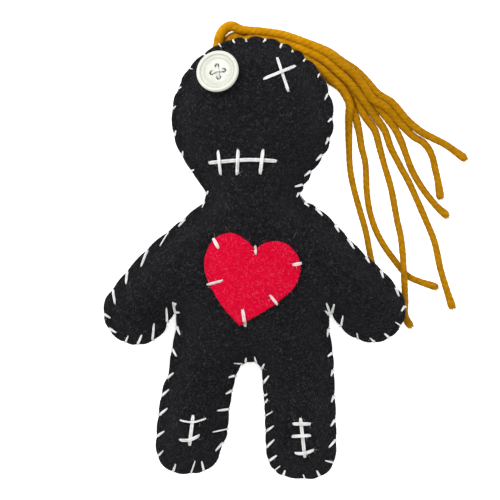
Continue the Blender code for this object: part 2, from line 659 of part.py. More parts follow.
# Each length of yarn from behind the head to its free end, in millimetres
YARN_ROUTES = {
    "yarn_strand_1": millimetres(
        (-0.2, 73.7, 5.6), (3.5, 74.0, 4.4), (9.0, 73.1, 3.5), (16.7, 70.5, 3.5), (23.3, 66.8, 3.5),
        (27.3, 63.3, 3.5), (30.8, 60.0, 3.5), (33.3, 56.4, 3.5), (34.1, 53.4, 3.5), (33.9, 50.2, 2.5),
        (33.8, 46.9, 1.3), (33.9, 39.0, 1.1), (34.3, 31.3, 1.1), (35.7, 24.0, 1.1), (37.7, 16.8, 1.1),
        (39.7, 9.7, 1.1), (41.1, 2.6, 1.1), (42.2, -3.3, 1.1), (43.0, -5.8, 1.1),
    ),
    "yarn_strand_2": millimetres(
        (5.4, 70.9, 1.1), (8.4, 70.5, 1.1), (15.7, 68.1, 1.1), (22.5, 65.5, 1.1), (26.9, 62.5, 1.1),
        (30.7, 60.0, 1.1), (33.2, 56.4, 1.1), (34.7, 53.2, 1.1), (36.1, 50.0, 1.1), (36.9, 46.9, 1.1),
        (37.6, 43.6, 1.1), (38.3, 39.0, 1.1), (39.5, 34.3, 1.1), (39.9, 29.2, 1.1), (40.1, 24.0, 1.1),
        (41.1, 16.8, 1.1), (43.4, 9.7, 1.1), (46.3, 4.3, 1.1), (49.9, -0.7, 1.1), (52.7, -4.2, 1.1),
        (55.1, -6.5, 1.1), (59.0, -8.2, 1.1), (64.6, -10.0, 1.1),
    ),
    "yarn_strand_3": millimetres(
        (-5.8, 72.6, 1.1), (-1.6, 74.2, 1.1), (3.5, 74.0, 1.1), (9.0, 73.1, 1.1), (16.7, 70.5, 1.1),
        (23.8, 67.7, 1.1), (28.3, 64.6, 1.1), (32.4, 62.0, 1.1), (35.5, 57.9, 1.1), (37.7, 53.1, 1.1),
        (40.0, 49.2, 1.1), (42.9, 45.0, 1.1), (44.6, 39.0, 1.1), (46.4, 32.4, 1.1), (47.8, 27.8, 1.1),
        (48.8, 24.0, 1.1), (50.8, 13.3, 1.1), (52.0, 7.9, 1.7), (52.6, 2.6, 3.0), (52.9, -1.2, 3.8),
        (53.1, -4.4, 3.9), (53.3, -7.9, 3.1), (53.5, -11.7, 1.9), (53.7, -15.6, 1.1), (53.5, -18.7, 1.1),
        (54.1, -21.5, 1.1), (55.6, -23.8, 1.1),
    ),
    "yarn_strand_4": millimetres(
        (-7.2, 73.0, 5.6), (-4.4, 75.1, 4.4), (-0.9, 76.6, 3.5), (3.8, 76.5, 3.5), (9.4, 75.6, 3.5),
        (17.7, 72.9, 3.5), (24.8, 69.5, 3.5), (29.2, 65.9, 3.5), (33.0, 62.6, 3.5), (36.7, 58.4, 3.5),
        (40.2, 53.8, 2.5), (44.0, 48.5, 1.1), (46.4, 45.0, 1.1), (48.5, 39.0, 1.1), (50.9, 34.3, 1.1),
        (52.5, 31.2, 1.1), (54.4, 27.8, 1.1), (56.4, 23.6, 1.1), (60.4, 14.5, 1.1), (63.9, 5.8, 1.1),
        (66.0, -3.7, 1.1), (68.6, -12.3, 1.1), (70.2, -17.3, 1.1),
    ),
    "yarn_strand_5": millimetres(
        (-13.8, 66.3, 1.1), (-11.5, 68.9, 1.1), (-10.1, 71.4, 1.1), (-9.1, 74.2, 1.1), (-7.9, 76.5, 1.1),
        (-5.9, 77.5, 1.1), (-3.9, 77.3, 1.1), (3.8, 76.5, 1.1), (9.4, 75.6, 1.1), (17.7, 72.9, 1.1),
        (25.1, 70.0, 1.1), (29.8, 66.8, 1.1), (34.0, 64.1, 1.1), (38.2, 59.9, 1.1), (41.8, 55.6, 1.1),
        (45.2, 51.8, 1.1), (47.8, 48.7, 1.1), (50.3, 45.0, 1.1), (52.4, 40.6, 1.1), (54.1, 35.9, 1.1),
        (55.9, 31.2, 1.1), (57.7, 27.8, 1.1), (60.4, 23.6, 1.1), (64.6, 18.4, 1.1), (68.4, 14.9, 1.1),
    ),
    "yarn_strand_6": millimetres(
        (-17.3, 66.3, 5.6), (-14.7, 69.3, 4.6), (-12.8, 71.9, 3.5), (-11.9, 74.7, 3.5), (-11.4, 77.4, 3.5),
        (-9.8, 80.0, 3.5), (-7.4, 81.2, 3.5), (-3.8, 79.9, 3.5), (4.2, 79.1, 3.5), (10.0, 78.2, 3.5),
        (18.7, 75.3, 3.5), (26.1, 71.9, 3.5), (30.8, 68.3, 3.5), (34.9, 65.1, 3.5), (38.8, 60.5, 3.5),
        (42.1, 55.9, 3.5), (46.7, 53.1, 2.6), (52.9, 46.4, 1.1), (56.7, 42.7, 1.1), (59.7, 40.9, 1.1),
        (61.7, 38.7, 1.1), (63.2, 35.5, 1.1), (64.2, 31.2, 1.1), (65.0, 27.8, 1.1), (66.0, 21.2, 1.1),
    ),
    "yarn_strand_7": millimetres(
        (-19.8, 63.2, 1.1), (-17.3, 66.3, 1.1), (-14.7, 69.3, 1.1), (-12.8, 71.9, 1.1), (-11.9, 74.7, 1.1),
        (-11.4, 77.4, 1.1), (-9.8, 80.0, 1.1), (-7.4, 81.2, 1.1), (-3.8, 79.9, 1.1), (4.2, 79.1, 1.1),
        (10.0, 78.2, 1.1), (18.7, 75.3, 1.1), (26.4, 72.3, 1.1), (31.3, 68.9, 1.1), (35.7, 66.1, 1.1),
        (40.1, 61.8, 1.1), (43.8, 57.7, 1.1), (48.6, 54.8, 1.1), (54.6, 48.3, 1.1), (59.4, 44.4, 1.1),
        (63.5, 42.2, 1.1), (67.6, 40.1, 1.1), (71.2, 37.6, 1.1), (74.7, 35.0, 1.1),
    ),
}


def main():
    clear_scene()
    doll = collection("voodoo_doll")
    helpers = collection("cutters", hidden=True)
    black_felt = material("black_felt", (0.012, 0.012, 0.014), 0.95)
    red_felt = material("red_felt", (0.62, 0.01, 0.03), 0.9)
    white_thread = material("white_thread", (0.85, 0.82, 0.78), 0.8)
    ivory = material("ivory_plastic", (0.82, 0.8, 0.72), 0.35)
    yarn_look = material("mustard_yarn", (0.6, 0.33, 0.02), 0.9)
    filling = material("filling", (0.9, 0.9, 0.88), 1.0)

    body = bpy.data.objects.new("doll", None)
    doll.objects.link(body)

    seam = Seam()
    axes = button_frame(seam)
    sewn_on = button_stitches(axes)
    motif_rings = (
        stitch_rings(MOUTH, MOUTH_THREAD)
        + stitch_rings(CROSS_EYE, CROSS_THREAD)
        + stitch_rings(LEFT_SCAR + RIGHT_SCAR, SCAR_THREAD)
        + stitch_rings(HEART_STITCHES, HEART_THREAD)
        + stitch_rings(sewn_on, BUTTON_THREAD)
    )

    front_rings = edge_rings(seam) + motif_rings
    front_pattern = panel_pattern(seam, front_rings)
    front_points = panel_points(front_pattern, seam, front=True)
    placed(felt_object("front_panel", front_points, front_pattern.faces, FELT, False, black_felt), doll, body)
    front = Surface(front_points, front_pattern.faces + front_pattern.plugs, FELT)

    back_pattern = panel_pattern(seam, edge_rings(seam))
    back_points = panel_points(back_pattern, seam, front=False)
    back_faces = [face[::-1] for face in back_pattern.faces]
    placed(felt_object("back_panel", back_points, back_faces, FELT, False, black_felt), doll, body)
    back = Surface(back_points, back_faces + [face[::-1] for face in back_pattern.plugs], FELT)

    placed(filling_object(seam, front, back, filling), doll, body)
    placed(tube("edge_thread", edge_line(seam), EDGE_THREAD, 4, white_thread), doll, body)

    # The needle goes into the heart and out of it by turns, so one end of each stitch pierces the patch
    ends = stitch_rings(HEART_STITCHES, HEART_THREAD)
    heart_holes = [ends[2 * number + 1 - number % 2] for number in range(len(HEART_STITCHES))]
    rim = heart_outline()
    heart_pattern = Pattern(rim, heart_holes, inner_grid(rim, DOME_GRID, DOME_GRID / 3, heart_holes))
    heart_heights = [front.height(x, y, CLEARANCE) + CLEARANCE for x, y in heart_pattern.points]
    heart_points = np.column_stack([heart_pattern.points, heart_heights])
    placed(felt_object("heart_patch", heart_points, heart_pattern.faces, HEART_FELT, True, red_felt), doll, body)
    heart_tops = heart_points + np.array([0, 0, HEART_FELT])
    heart = Surface(heart_tops, heart_pattern.faces + heart_pattern.plugs, HEART_FELT, under=front)

    motifs = (
        ("mouth_thread", MOUTH, MOUTH_THREAD, crossings_over(MOUTH, 0, (1, 2, 3), MOUTH_THREAD)),
        ("cross_eye_thread", CROSS_EYE, CROSS_THREAD, crossings_over(CROSS_EYE, 0, (1,), CROSS_THREAD)),
        ("left_scar_thread", LEFT_SCAR, SCAR_THREAD, crossings_over(LEFT_SCAR, 0, (1, 2), SCAR_THREAD)),
        ("right_scar_thread", RIGHT_SCAR, SCAR_THREAD, crossings_over(RIGHT_SCAR, 0, (1, 2, 3), SCAR_THREAD)),
    )
    for name, stitches, thread, crossed in motifs:
        placed(tube(name, motif_line(stitches, front, thread, crossed), thread, 6, white_thread), doll, body)
    line = motif_line(HEART_STITCHES, heart, HEART_THREAD)
    placed(tube("heart_thread", line, HEART_THREAD, 6, white_thread), doll, body)

    seat = button_seat(axes, front)
    placed(button_object(axes, seat, ivory, helpers), doll, body)
    line = button_line(sewn_on, axes, seat, front)
    placed(tube("button_thread", line, BUTTON_THREAD, 6, white_thread), doll, body)

    for name, route in YARN_ROUTES.items():
        placed(tube(name, smooth_curve(route, 2.5 * YARN), YARN, 8, yarn_look), doll, body)


main()
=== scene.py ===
"""The look of a hand-sewn felt voodoo doll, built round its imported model, in metres with +Z up.

The doll lies on its back with its head along +Y. Left and right are the viewer's, looking down on the face.
"""

import math

import bmesh
import bpy
import numpy as np
from mathutils import Matrix, Vector, noise
from mathutils.bvhtree import BVHTree
from mathutils.geometry import delaunay_2d_cdt

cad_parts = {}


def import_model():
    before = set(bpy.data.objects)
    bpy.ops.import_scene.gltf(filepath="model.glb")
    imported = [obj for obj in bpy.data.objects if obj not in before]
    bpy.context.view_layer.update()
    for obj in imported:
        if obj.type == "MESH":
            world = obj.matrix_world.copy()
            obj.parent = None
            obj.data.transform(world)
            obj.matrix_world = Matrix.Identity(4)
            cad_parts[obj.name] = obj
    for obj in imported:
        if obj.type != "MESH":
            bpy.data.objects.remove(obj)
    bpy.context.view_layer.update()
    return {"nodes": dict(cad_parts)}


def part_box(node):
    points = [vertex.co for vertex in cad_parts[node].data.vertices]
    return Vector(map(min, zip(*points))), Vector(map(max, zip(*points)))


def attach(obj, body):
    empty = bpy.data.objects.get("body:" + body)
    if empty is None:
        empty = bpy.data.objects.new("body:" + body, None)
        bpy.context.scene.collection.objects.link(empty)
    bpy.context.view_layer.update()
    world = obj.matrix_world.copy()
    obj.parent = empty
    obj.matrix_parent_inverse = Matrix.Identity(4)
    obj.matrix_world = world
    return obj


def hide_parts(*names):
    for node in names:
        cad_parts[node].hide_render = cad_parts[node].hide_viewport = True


MM = 0.001
BODY = "root"

# Felt panels and the seam between them
FELT = 1.0 * MM
SEAM_HEIGHT = 10.0 * MM
SEAM_GAP = 0.3 * MM
LIP = 3.4 * MM
PUFF_HEIGHT = 13.0 * MM
PUFF_REACH = 8.0 * MM
PUFF_POWER = 0.6
EDGE_EASE = 1.3 * MM
SOFT_POWER = 0.75
RIM = SEAM_GAP / 2 + FELT

# How the felt gives where it is sewn and cut
PUCKER_WIDTH = 0.75 * MM
CREASE_WIDTH = 0.7 * MM
CREASE_SHARE = 0.9
DIMPLE = 0.4 * MM
DENT = 0.22 * MM
CUT_ROLL = 0.3 * MM
CUT_WIDTH = 0.35 * MM

# Outline: round stretches as circles, the rest as points in millimetres
HEAD_CENTRE = (0.0 * MM, 49.2 * MM)
HEAD_RADIUS = 28.2 * MM
LEFT_HAND = (-40.4 * MM, -18.4 * MM)
RIGHT_HAND = (41.8 * MM, -17.7 * MM)
HAND_RADIUS = 11.7 * MM
FOOT_RADIUS = 9.0 * MM
NECK_LINE = 22.0 * MM
HEAD_SCALLOP = 1.0 * MM
SMOOTH_SCALLOP = 0.45 * MM
BODY_SCALLOP = 0.5 * MM
SMOOTH_SIDE = (-11.0 * MM, -3.0 * MM)
LEAST_REACH = 0.9 * MM
STITCH_EXTRA = 0.5 * MM

# Threads, patch and button
EDGE_THREAD = 0.85 * MM
MOUTH_THREAD = 1.3 * MM
CROSS_THREAD = 1.1 * MM
SCAR_THREAD = 1.2 * MM
HEART_THREAD = 1.2 * MM
HEART_FELT = 1.2 * MM
BUTTON_THREAD = 0.9 * MM
BUTTON_CENTRE = (-11.5 * MM, 64.4 * MM)
BUTTON_DIAMETER = 15.0 * MM
BUTTON_THICKNESS = 2.6 * MM
BUTTON_RIM = 1.5 * MM
BUTTON_DISH = 1.7 * MM
BUTTON_HOLE = 1.5 * MM
BUTTON_HOLE_CIRCLE = 2.2 * MM
BUTTON_TURN = 10.0
BUTTON_LEAN = 22.0
BUTTON_STEPS = 120
HOLE_STEPS = 28
SHARP_ANGLE = 32
CUSHION = 1.5 * MM
CUSHION_REACH = 8.0 * MM
PLIES = 3
FLOSS_TWIST = 2.6 * MM
HOLE_REACH = 1.4 * MM
UP = (0.0, 0.0, 1.0)

# Yarn: how far it is fluffed up where it lies free, in the hank beside the head and in the folded loop
YARN = 2.0 * MM
YARN_TWIST = 6.4 * MM
YARN_LOFT = 1.1
LOFT_STEP = 0.025
HANK_LOFT = 1.58
HANK_START = (36.0 * MM, 56.0 * MM)
LOOP_LOFT = 0.24
LOOP_START = (-2.0 * MM, -8.0 * MM)
YARN_SPREAD = 1.013
YARN_LIFT = 1.1
WANDER = 0.06
WANDER_LENGTH = 6 * MM
FRAY = 0.26
FRAY_REACH = 4.0 * MM
END_ROUNDING = 0.45
END_REACH = 0.4 * MM
FIBRES_PER_MM = 6.0
END_FIBRES = 90

# Heights in millimetres of yarn that lies on the ground, and of yarn that lies on other yarn
RESTING = 1.1
ON_YARN = 3.5

# How closely soft things lie on each other
CONTACT = 0.03 * MM
SINK = 0.15 * MM

# Mesh fineness
OUTLINE_STEP = 0.5 * MM
FRONT_GRID = 0.72 * MM
BACK_GRID = 1.0 * MM
HEART_GRID = 0.6 * MM
GRID_MARGIN = 0.4 * MM
SPAN_SAMPLES = 16
STITCH_STEP = 1.2 * MM
THREAD_STEP = 0.42 * MM
YARN_STEP = 0.45 * MM
CHUNK = 3000
FAR = 1.0

# The view from above, in whose pixels the places of stitches and creases are given, and its light
PHOTO_WIDTH = 500
PIXEL = 0.35 * MM
PHOTO_ORIGIN = (252.5, 258.5)
CAMERA_HEIGHT = 2.6
SENSOR = 36.0
FLOOR_GLOW = 0.75
SKY_LIGHT = 0.9


def spot(x, y):
    """The place in the model of a pixel of the photograph."""
    return ((x - PHOTO_ORIGIN[0]) * PIXEL, (PHOTO_ORIGIN[1] - y) * PIXEL)


def arc(centre, radius, start, end, count):
    """Points along a circle, from one angle in degrees to another."""
    turns = np.radians(np.linspace(start, end, count))
    return [(centre[0] + radius * math.cos(turn), centre[1] + radius * math.sin(turn)) for turn in turns]


def millimetres(*points):
    return [tuple(value * MM for value in point) for point in points]


def level(height, *points):
    """Points that all lie at one height."""
    return millimetres(*((x, y, height) for x, y in points))


def bell(gap, width):
    """1 where there is no gap, falling softly to nothing within a few widths."""
    return np.exp(-((gap / width) ** 2))


def unit(rows):
    """The rows, each made one long."""
    return rows / np.linalg.norm(rows, axis=1)[:, None]


def gaps_between(points, others):
    return np.linalg.norm(points[:, None] - others[None], axis=2)


def path_reach(points):
    """How far along a path each of its points is."""
    return np.concatenate([[0], np.cumsum(np.linalg.norm(np.diff(points, axis=0), axis=1))])


def span_points(before, start, end, after):
    """The stretch from start to end of a centripetal Catmull-Rom curve."""
    corners = (before, start, end, after)
    knots = np.cumsum([0] + [np.linalg.norm(b - a) ** 0.5 for a, b in zip(corners, corners[1:])])
    at = np.linspace(knots[1], knots[2], SPAN_SAMPLES, endpoint=False)[:, None]

    def blend(a, b, low, high):
        return (high - at) / (high - low) * a + (at - low) / (high - low) * b

    first = blend(before, start, knots[0], knots[1])
    second = blend(start, end, knots[1], knots[2])
    third = blend(end, after, knots[2], knots[3])
    early = blend(first, second, knots[0], knots[2])
    late = blend(second, third, knots[1], knots[3])
    return blend(early, late, knots[1], knots[2])


def smooth_curve(points, step, closed=False):
    """Points about a step apart on a smooth curve through the given ones."""
    points = np.array(points, float)
    if closed:
        knots = np.vstack([points[-1:], points, points[:2]])
    else:
        knots = np.vstack([2 * points[0] - points[1], points, 2 * points[-1] - points[-2]])
    spans = [span_points(*corners) for corners in zip(knots, knots[1:], knots[2:], knots[3:])]
    line = np.vstack([*spans, points[:1] if closed else points[-1:]])
    reach = path_reach(line)
    count = max(2, round(reach[-1] / step))
    at = np.linspace(0, reach[-1], count + 1)[: count if closed else count + 1]
    return np.column_stack([np.interp(at, reach, line[:, axis]) for axis in range(line.shape[1])])


def doll_outline():
    """The doll's edge, clockwise from the left side of the neck."""
    head = arc(HEAD_CENTRE, HEAD_RADIUS, 218, -43, 14)
    right_arm = millimetres((16.7, 21.2), (21.5, 18.4), (26.4, 14.7))
    right_arm += millimetres((32.8, 7.9), (39.7, 0.9), (45.6, -4.4))
    right_hand = arc(RIGHT_HAND, HAND_RADIUS, 47, -120, 6)
    right_side = millimetres((32.0, -25.2), (30.2, -23.0), (28.6, -20.9), (27.4, -19.1))
    right_side += millimetres((26.8, -20.8), (26.9, -25.6), (28.0, -32.3))
    right_leg = millimetres((28.7, -46.2), (29.1, -56.3))
    right_foot = arc((20.1 * MM, -68.0 * MM), FOOT_RADIUS, 0, -80, 4)
    right_foot += arc((14.0 * MM, -67.6 * MM), FOOT_RADIUS, -95, -175, 4)
    inside_right = millimetres((4.6, -61.3), (4.3, -51.8), (3.6, -43.4), (3.2, -38.8))
    crotch = millimetres((1.6, -36.6), (-1.0, -36.1), (-3.9, -37.3))
    inside_left = millimetres((-5.8, -41.1), (-7.5, -48.5), (-8.3, -54.1), (-9.0, -61.5))
    left_foot = arc((-20.2 * MM, -66.0 * MM), FOOT_RADIUS, -8, -88, 4)
    left_foot += arc((-24.7 * MM, -66.2 * MM), FOOT_RADIUS, -100, -180, 4)
    left_leg = millimetres((-32.8, -54.1), (-31.2, -45.0), (-29.2, -39.4), (-28.5, -33.1))
    left_side = millimetres((-27.0, -26.0), (-26.6, -21.0), (-27.0, -19.1))
    left_side += millimetres((-28.3, -20.4), (-29.8, -22.6))
    left_hand = arc(LEFT_HAND, HAND_RADIUS, -36, -229, 8)
    left_arm = millimetres((-42.9, -3.2), (-36.1, 4.0), (-22.6, 15.2), (-16.3, 21.6))
    right = right_arm + right_hand + right_side + right_leg + right_foot + inside_right
    return head + right + crotch + inside_left + left_foot + left_leg + left_side + left_hand + left_arm


# Each whip stitch round the edge, clockwise from the left side of the neck: the pixel where the
# thread comes up through the felt, and the pixel where it goes over the edge
EDGE_STITCHES = (
    (206.5, 192.0, 203.5, 194.5), (191.4, 171.6, 187.0, 174.0), (179.0, 154.0, 177.5, 157.0),
    (175.0, 131.5, 174.0, 135.0), (174.6, 106.5, 173.5, 108.0), (179.5, 86.9, 178.0, 87.5),
    (192.0, 69.2, 190.5, 69.5), (205.5, 55.2, 204.0, 53.5), (220.8, 46.8, 219.5, 44.0),
    (234.5, 42.6, 233.5, 40.5), (246.5, 41.3, 246.0, 39.0), (263.5, 41.6, 265.0, 39.5),
    (280.2, 47.6, 281.0, 45.5), (292.6, 51.6, 293.8, 49.5), (303.6, 61.2, 305.3, 59.0),
    (317.8, 77.0, 319.3, 75.0), (325.0, 99.0, 329.0, 94.0), (328.5, 121.5, 331.0, 118.5),
    (326.0, 143.5, 331.5, 139.0), (316.5, 160.0, 324.0, 156.5), (305.0, 175.5, 312.5, 172.0),
    (295.5, 186.5, 302.0, 185.0), (297.0, 196.5, 298.6, 192.5), (308.5, 206.0, 305.0, 202.0),
    (322.0, 215.0, 316.4, 208.4), (339.4, 230.8, 335.3, 225.7), (353.7, 248.2, 349.1, 239.0),
    (369.5, 261.9, 366.5, 256.3), (383.0, 277.2, 380.5, 271.7), (398.6, 295.6, 396.5, 286.9),
    (401.6, 310.5, 406.0, 306.9), (396.0, 322.5, 400.3, 325.0), (385.0, 334.0, 388.5, 338.0),
    (370.5, 338.5, 374.0, 342.0), (357.0, 334.0, 357.5, 340.0), (342.8, 316.5, 339.9, 326.2),
    (334.3, 303.3, 331.5, 309.5), (323.1, 293.6, 326.6, 301.2), (325.5, 311.0, 328.5, 314.5),
    (327.4, 335.8, 329.8, 328.5), (328.2, 355.9, 332.5, 352.5), (331.9, 375.2, 334.5, 370.4),
    (331.7, 401.3, 335.1, 395.5), (331.1, 425.4, 335.7, 420.8), (329.4, 446.6, 335.1, 439.7),
    (325.4, 460.4, 331.0, 461.6), (317.0, 471.0, 319.0, 475.5), (303.5, 475.2, 303.7, 480.0),
    (284.8, 470.8, 283.5, 475.5), (279.4, 466.4, 274.1, 470.6), (276.2, 455.6, 271.0, 460.0),
    (273.7, 440.0, 267.0, 446.8), (272.9, 426.3, 265.9, 431.1), (271.6, 412.0, 264.9, 415.6),
    (267.2, 399.8, 263.9, 402.8), (266.8, 394.2, 263.9, 395.5), (268.3, 376.4, 262.1, 382.6),
    (263.9, 364.5, 261.7, 368.9), (254.8, 357.6, 255.4, 362.2), (246.0, 358.5, 246.0, 362.5),
    (234.8, 363.3, 242.2, 364.4), (229.5, 377.0, 235.6, 375.8), (226.5, 393.5, 232.3, 390.6),
    (218.1, 410.4, 229.5, 409.6), (213.6, 431.6, 227.0, 429.4), (216.1, 450.0, 225.0, 444.0),
    (201.9, 461.8, 204.3, 470.4), (194.9, 461.6, 190.7, 472.4), (175.5, 464.5, 173.5, 470.0),
    (162.8, 451.2, 157.9, 455.6), (163.6, 431.6, 156.6, 436.6), (166.7, 408.8, 158.4, 415.1),
    (168.2, 390.1, 161.7, 395.0), (172.9, 373.4, 168.2, 377.2), (176.2, 355.8, 171.9, 348.5),
    (179.9, 334.3, 176.0, 327.3), (179.0, 312.6, 174.8, 309.0), (172.7, 300.2, 173.9, 308.4),
    (166.5, 308.4, 166.3, 321.1), (154.1, 323.7, 151.5, 337.5), (141.6, 335.4, 138.3, 343.1),
    (128.0, 336.5, 126.0, 342.0), (115.8, 332.3, 109.5, 329.3), (110.0, 317.6, 102.6, 314.0),
    (115.1, 303.3, 111.0, 289.0), (126.0, 283.4, 127.0, 271.6), (141.3, 266.0, 147.4, 250.6),
    (160.5, 245.1, 166.7, 231.1), (178.6, 225.7, 182.7, 217.7), (200.5, 204.8, 203.0, 201.6),
)

# Nicks where the thread is pulled deep into the edge: pixel, then half width and depth in millimetres
NICKS = (
    (173.5, 89.5, 1.3, 0.9),
    (183.0, 84.0, 1.2, 0.8),
    (247.0, 39.5, 1.3, 0.7),
    (281.0, 46.0, 1.0, 0.7),
    (293.8, 49.5, 0.9, 0.6),
    (305.3, 59.0, 0.9, 0.5),
)


class Seam:
    """The doll's smooth outline, and where the whip stitch crosses it."""

    def __init__(self):
        self.line = smooth_curve(doll_outline(), OUTLINE_STEP, closed=True)
        along = np.roll(self.line, -1, axis=0) - np.roll(self.line, 1, axis=0)
        along = unit(along)
        self.outward = np.column_stack([-along[:, 1], along[:, 0]])
        through = np.array([spot(*stitch[:2]) for stitch in EDGE_STITCHES])
        over = np.array([spot(*stitch[2:]) for stitch in EDGE_STITCHES])
        self.crossings = gaps_between(over, self.line).argmin(axis=1)
        self.edges = self.rim()[self.crossings]
        across = self.well_inside(through) - self.edges
        longest = np.linalg.norm(over - through, axis=1) + STITCH_EXTRA
        share = np.minimum(1, longest / np.linalg.norm(across, axis=1))
        self.holes = self.edges + across * share[:, None]

    def well_inside(self, places):
        """The places, moved inward where they lie closer to the edge than a needle can go."""
        nearest = gaps_between(places, self.line).argmin(axis=1)
        outward = self.outward[nearest]
        inset = ((self.line[nearest] - places) * outward).sum(axis=1)
        return places - outward * np.maximum(LEAST_REACH - inset, 0)[:, None]

    def rim(self):
        """The cut edge: drawn in where the thread crosses it, and full halfway between."""
        places = np.arange(len(self.line))
        stops = np.sort(self.crossings)
        stops = np.concatenate([stops[-1:] - len(places), stops, stops[:1] + len(places)])
        after = np.searchsorted(stops, places, side="right")
        share = (places - stops[after - 1]) / np.maximum(stops[after] - stops[after - 1], 1)
        start, end = SMOOTH_SIDE
        right = np.clip((self.line[:, 0] - start) / (end - start), 0, 1)
        depth = SMOOTH_SCALLOP + (HEAD_SCALLOP - SMOOTH_SCALLOP) * right
        depth = np.where(self.line[:, 1] > NECK_LINE, depth, BODY_SCALLOP)
        offset = depth * (np.sin(math.pi * share) ** 0.6 - 0.6)
        for x, y, width, cut in NICKS:
            gap = np.linalg.norm(self.line - spot(x, y), axis=1)
            offset -= cut * MM * bell(gap, width * MM)
        return self.line + self.outward * offset[:, None]


def in_chunks(function, points, *rest):
    """The function's result for many points, worked out a few thousand at a time."""
    starts = range(0, len(points), CHUNK)
    return np.concatenate([function(points[start : start + CHUNK], *rest) for start in starts])


def edge_measures(points, line):
    """How deep each point lies inside a closed line, and its plain distance from the line."""
    steps = np.linalg.norm(np.roll(line, -1, axis=0) - line, axis=1)
    gaps = gaps_between(points, line)
    depth = np.sqrt(2 / (steps / np.maximum(gaps, 0.01 * MM) ** 3).sum(axis=1))
    return np.column_stack([depth, gaps.min(axis=1)])


def puff(measures):
    """How far the filling pushes a panel out from the seam: not at all on the lip that is sewn down."""
    depth, inset = measures.T
    room = np.maximum(depth - LIP, 0)
    return np.where(inset < LIP, 0, PUFF_HEIGHT * (1 - np.exp(-room / PUFF_REACH)) ** PUFF_POWER)


def soft_puff(measures):
    """The felt's own rise: nearly the panel's, but it curves up from the cut edge with no step."""
    room = EDGE_EASE * np.log1p(np.exp((measures[:, 0] - LIP) / EDGE_EASE))
    return PUFF_HEIGHT * (1 - np.exp(-room / PUFF_REACH)) ** SOFT_POWER


def is_inside(points, line):
    """Which points lie inside a closed line, by counting the sides to their right."""
    start, end = line, np.roll(line, -1, axis=0)
    x, y = points[:, :1], points[:, 1:2]
    crossed = (start[:, 1] > y) != (end[:, 1] > y)
    rise = np.where(end[:, 1] == start[:, 1], 1, end[:, 1] - start[:, 1])
    meets = start[:, 0] + (y - start[:, 1]) / rise * (end[:, 0] - start[:, 0])
    return (crossed & (x < meets)).sum(axis=1) % 2 == 1


def nearest_gap(points, line):
    return gaps_between(points, line).min(axis=1)


def fine_pattern(rim, spacing):
    """A closed outline filled with small even triangles: its points and its faces, facing up."""
    low, high = rim.min(axis=0), rim.max(axis=0)
    rows = np.arange(low[1], high[1], spacing * math.sqrt(3) / 2)
    grid = []
    for number, y in enumerate(rows):
        across = np.arange(low[0] + (spacing / 2 if number % 2 else 0), high[0], spacing)
        grid.append(np.column_stack([across, np.full(len(across), y)]))
    grid = np.vstack(grid)
    grid = grid[in_chunks(is_inside, grid, rim)]
    grid = grid[in_chunks(nearest_gap, grid, rim) > GRID_MARGIN]
    edges = [(number, (number + 1) % len(rim)) for number in range(len(rim))]
    found = delaunay_2d_cdt([Vector(point) for point in np.vstack([rim, grid])], edges, [], 1, 1e-7, False)
    points = np.array([tuple(point) for point in found[0]])
    faces = np.array(found[2])
    faces = faces[in_chunks(is_inside, points[faces].mean(axis=1), rim)]
    return points, faces.tolist()


def segment_gap(points, start, end):
    """Each point's distance from a straight stretch, and how far along it the nearest place is."""
    along = np.subtract(end, start)
    share = np.clip((points - start) @ along / (along @ along), 0, 1)
    return np.linalg.norm(points - (np.array(start) + share[:, None] * along), axis=1), share


def groove(points, start, end, width, depth):
    """A soft furrow along a straight stretch, or a soft ridge where the depth is negative."""
    gap, _ = segment_gap(points, start, end)
    return -depth * bell(gap, width)


def unevenness(points, scale, size, seed):
    """Gentle random hills of about the given width and height."""
    return np.array([noise.noise(Vector((x / scale, y / scale, seed))) for x, y in points]) * size


# Creases in the front felt: start and end pixel, half width, and depth, in millimetres for the last two
CREASES = (
    ((324.0, 247.0), (323.5, 284.0), 0.9, 0.45),
    ((178.0, 363.0), (172.0, 372.0), 0.8, 0.6),
    ((168.0, 384.0), (206.0, 389.0), 2.6, 0.9),
    ((233.0, 371.0), (197.0, 398.0), 2.2, -0.7),
    ((226.0, 197.0), (282.0, 196.0), 2.4, 0.5),
    ((186.0, 247.0), (181.0, 288.0), 1.2, 0.35),
    ((206.0, 205.0), (228.0, 226.0), 1.4, 0.3),
    ((294.0, 206.0), (276.0, 224.0), 1.4, 0.3),
    ((250.0, 352.0), (252.0, 334.0), 1.1, 0.35),
    ((239.0, 358.0), (231.0, 346.0), 1.0, 0.3),
    ((266.0, 360.0), (275.0, 347.0), 1.0, 0.3),
)


def edge_puckers(points, seam, depth, reach):
    """The felt is pulled in under each whip stitch, and a faint crease runs on inward from its hole."""
    change = np.zeros(len(points))
    for hole, edge in zip(seam.holes, seam.edges):
        inward = (hole - edge) / np.linalg.norm(hole - edge)
        gap, _ = segment_gap(points, hole, edge)
        change -= depth * bell(gap, PUCKER_WIDTH)
        gap, share = segment_gap(points, hole, hole + inward * reach)
        change -= CREASE_SHARE * depth * (1 - share) * bell(gap, CREASE_WIDTH)
    return change


def motif_dimples(points, stitches, width):
    """The felt dips at both ends of a stitch and a little under it."""
    change = np.zeros(len(points))
    for stitch in stitches:
        gap, _ = segment_gap(points, stitch[0], stitch[-1])
        change -= DENT * bell(gap, 1.1 * width)
        for end in (stitch[0], stitch[-1]):
            gap = np.linalg.norm(points - np.array(end), axis=1)
            change -= DIMPLE * bell(gap, 0.9 * width)
    return change


def rounded_cut(inset):
    """The sheared edge of the felt rolls off a little."""
    return -CUT_ROLL * bell(inset, CUT_WIDTH)


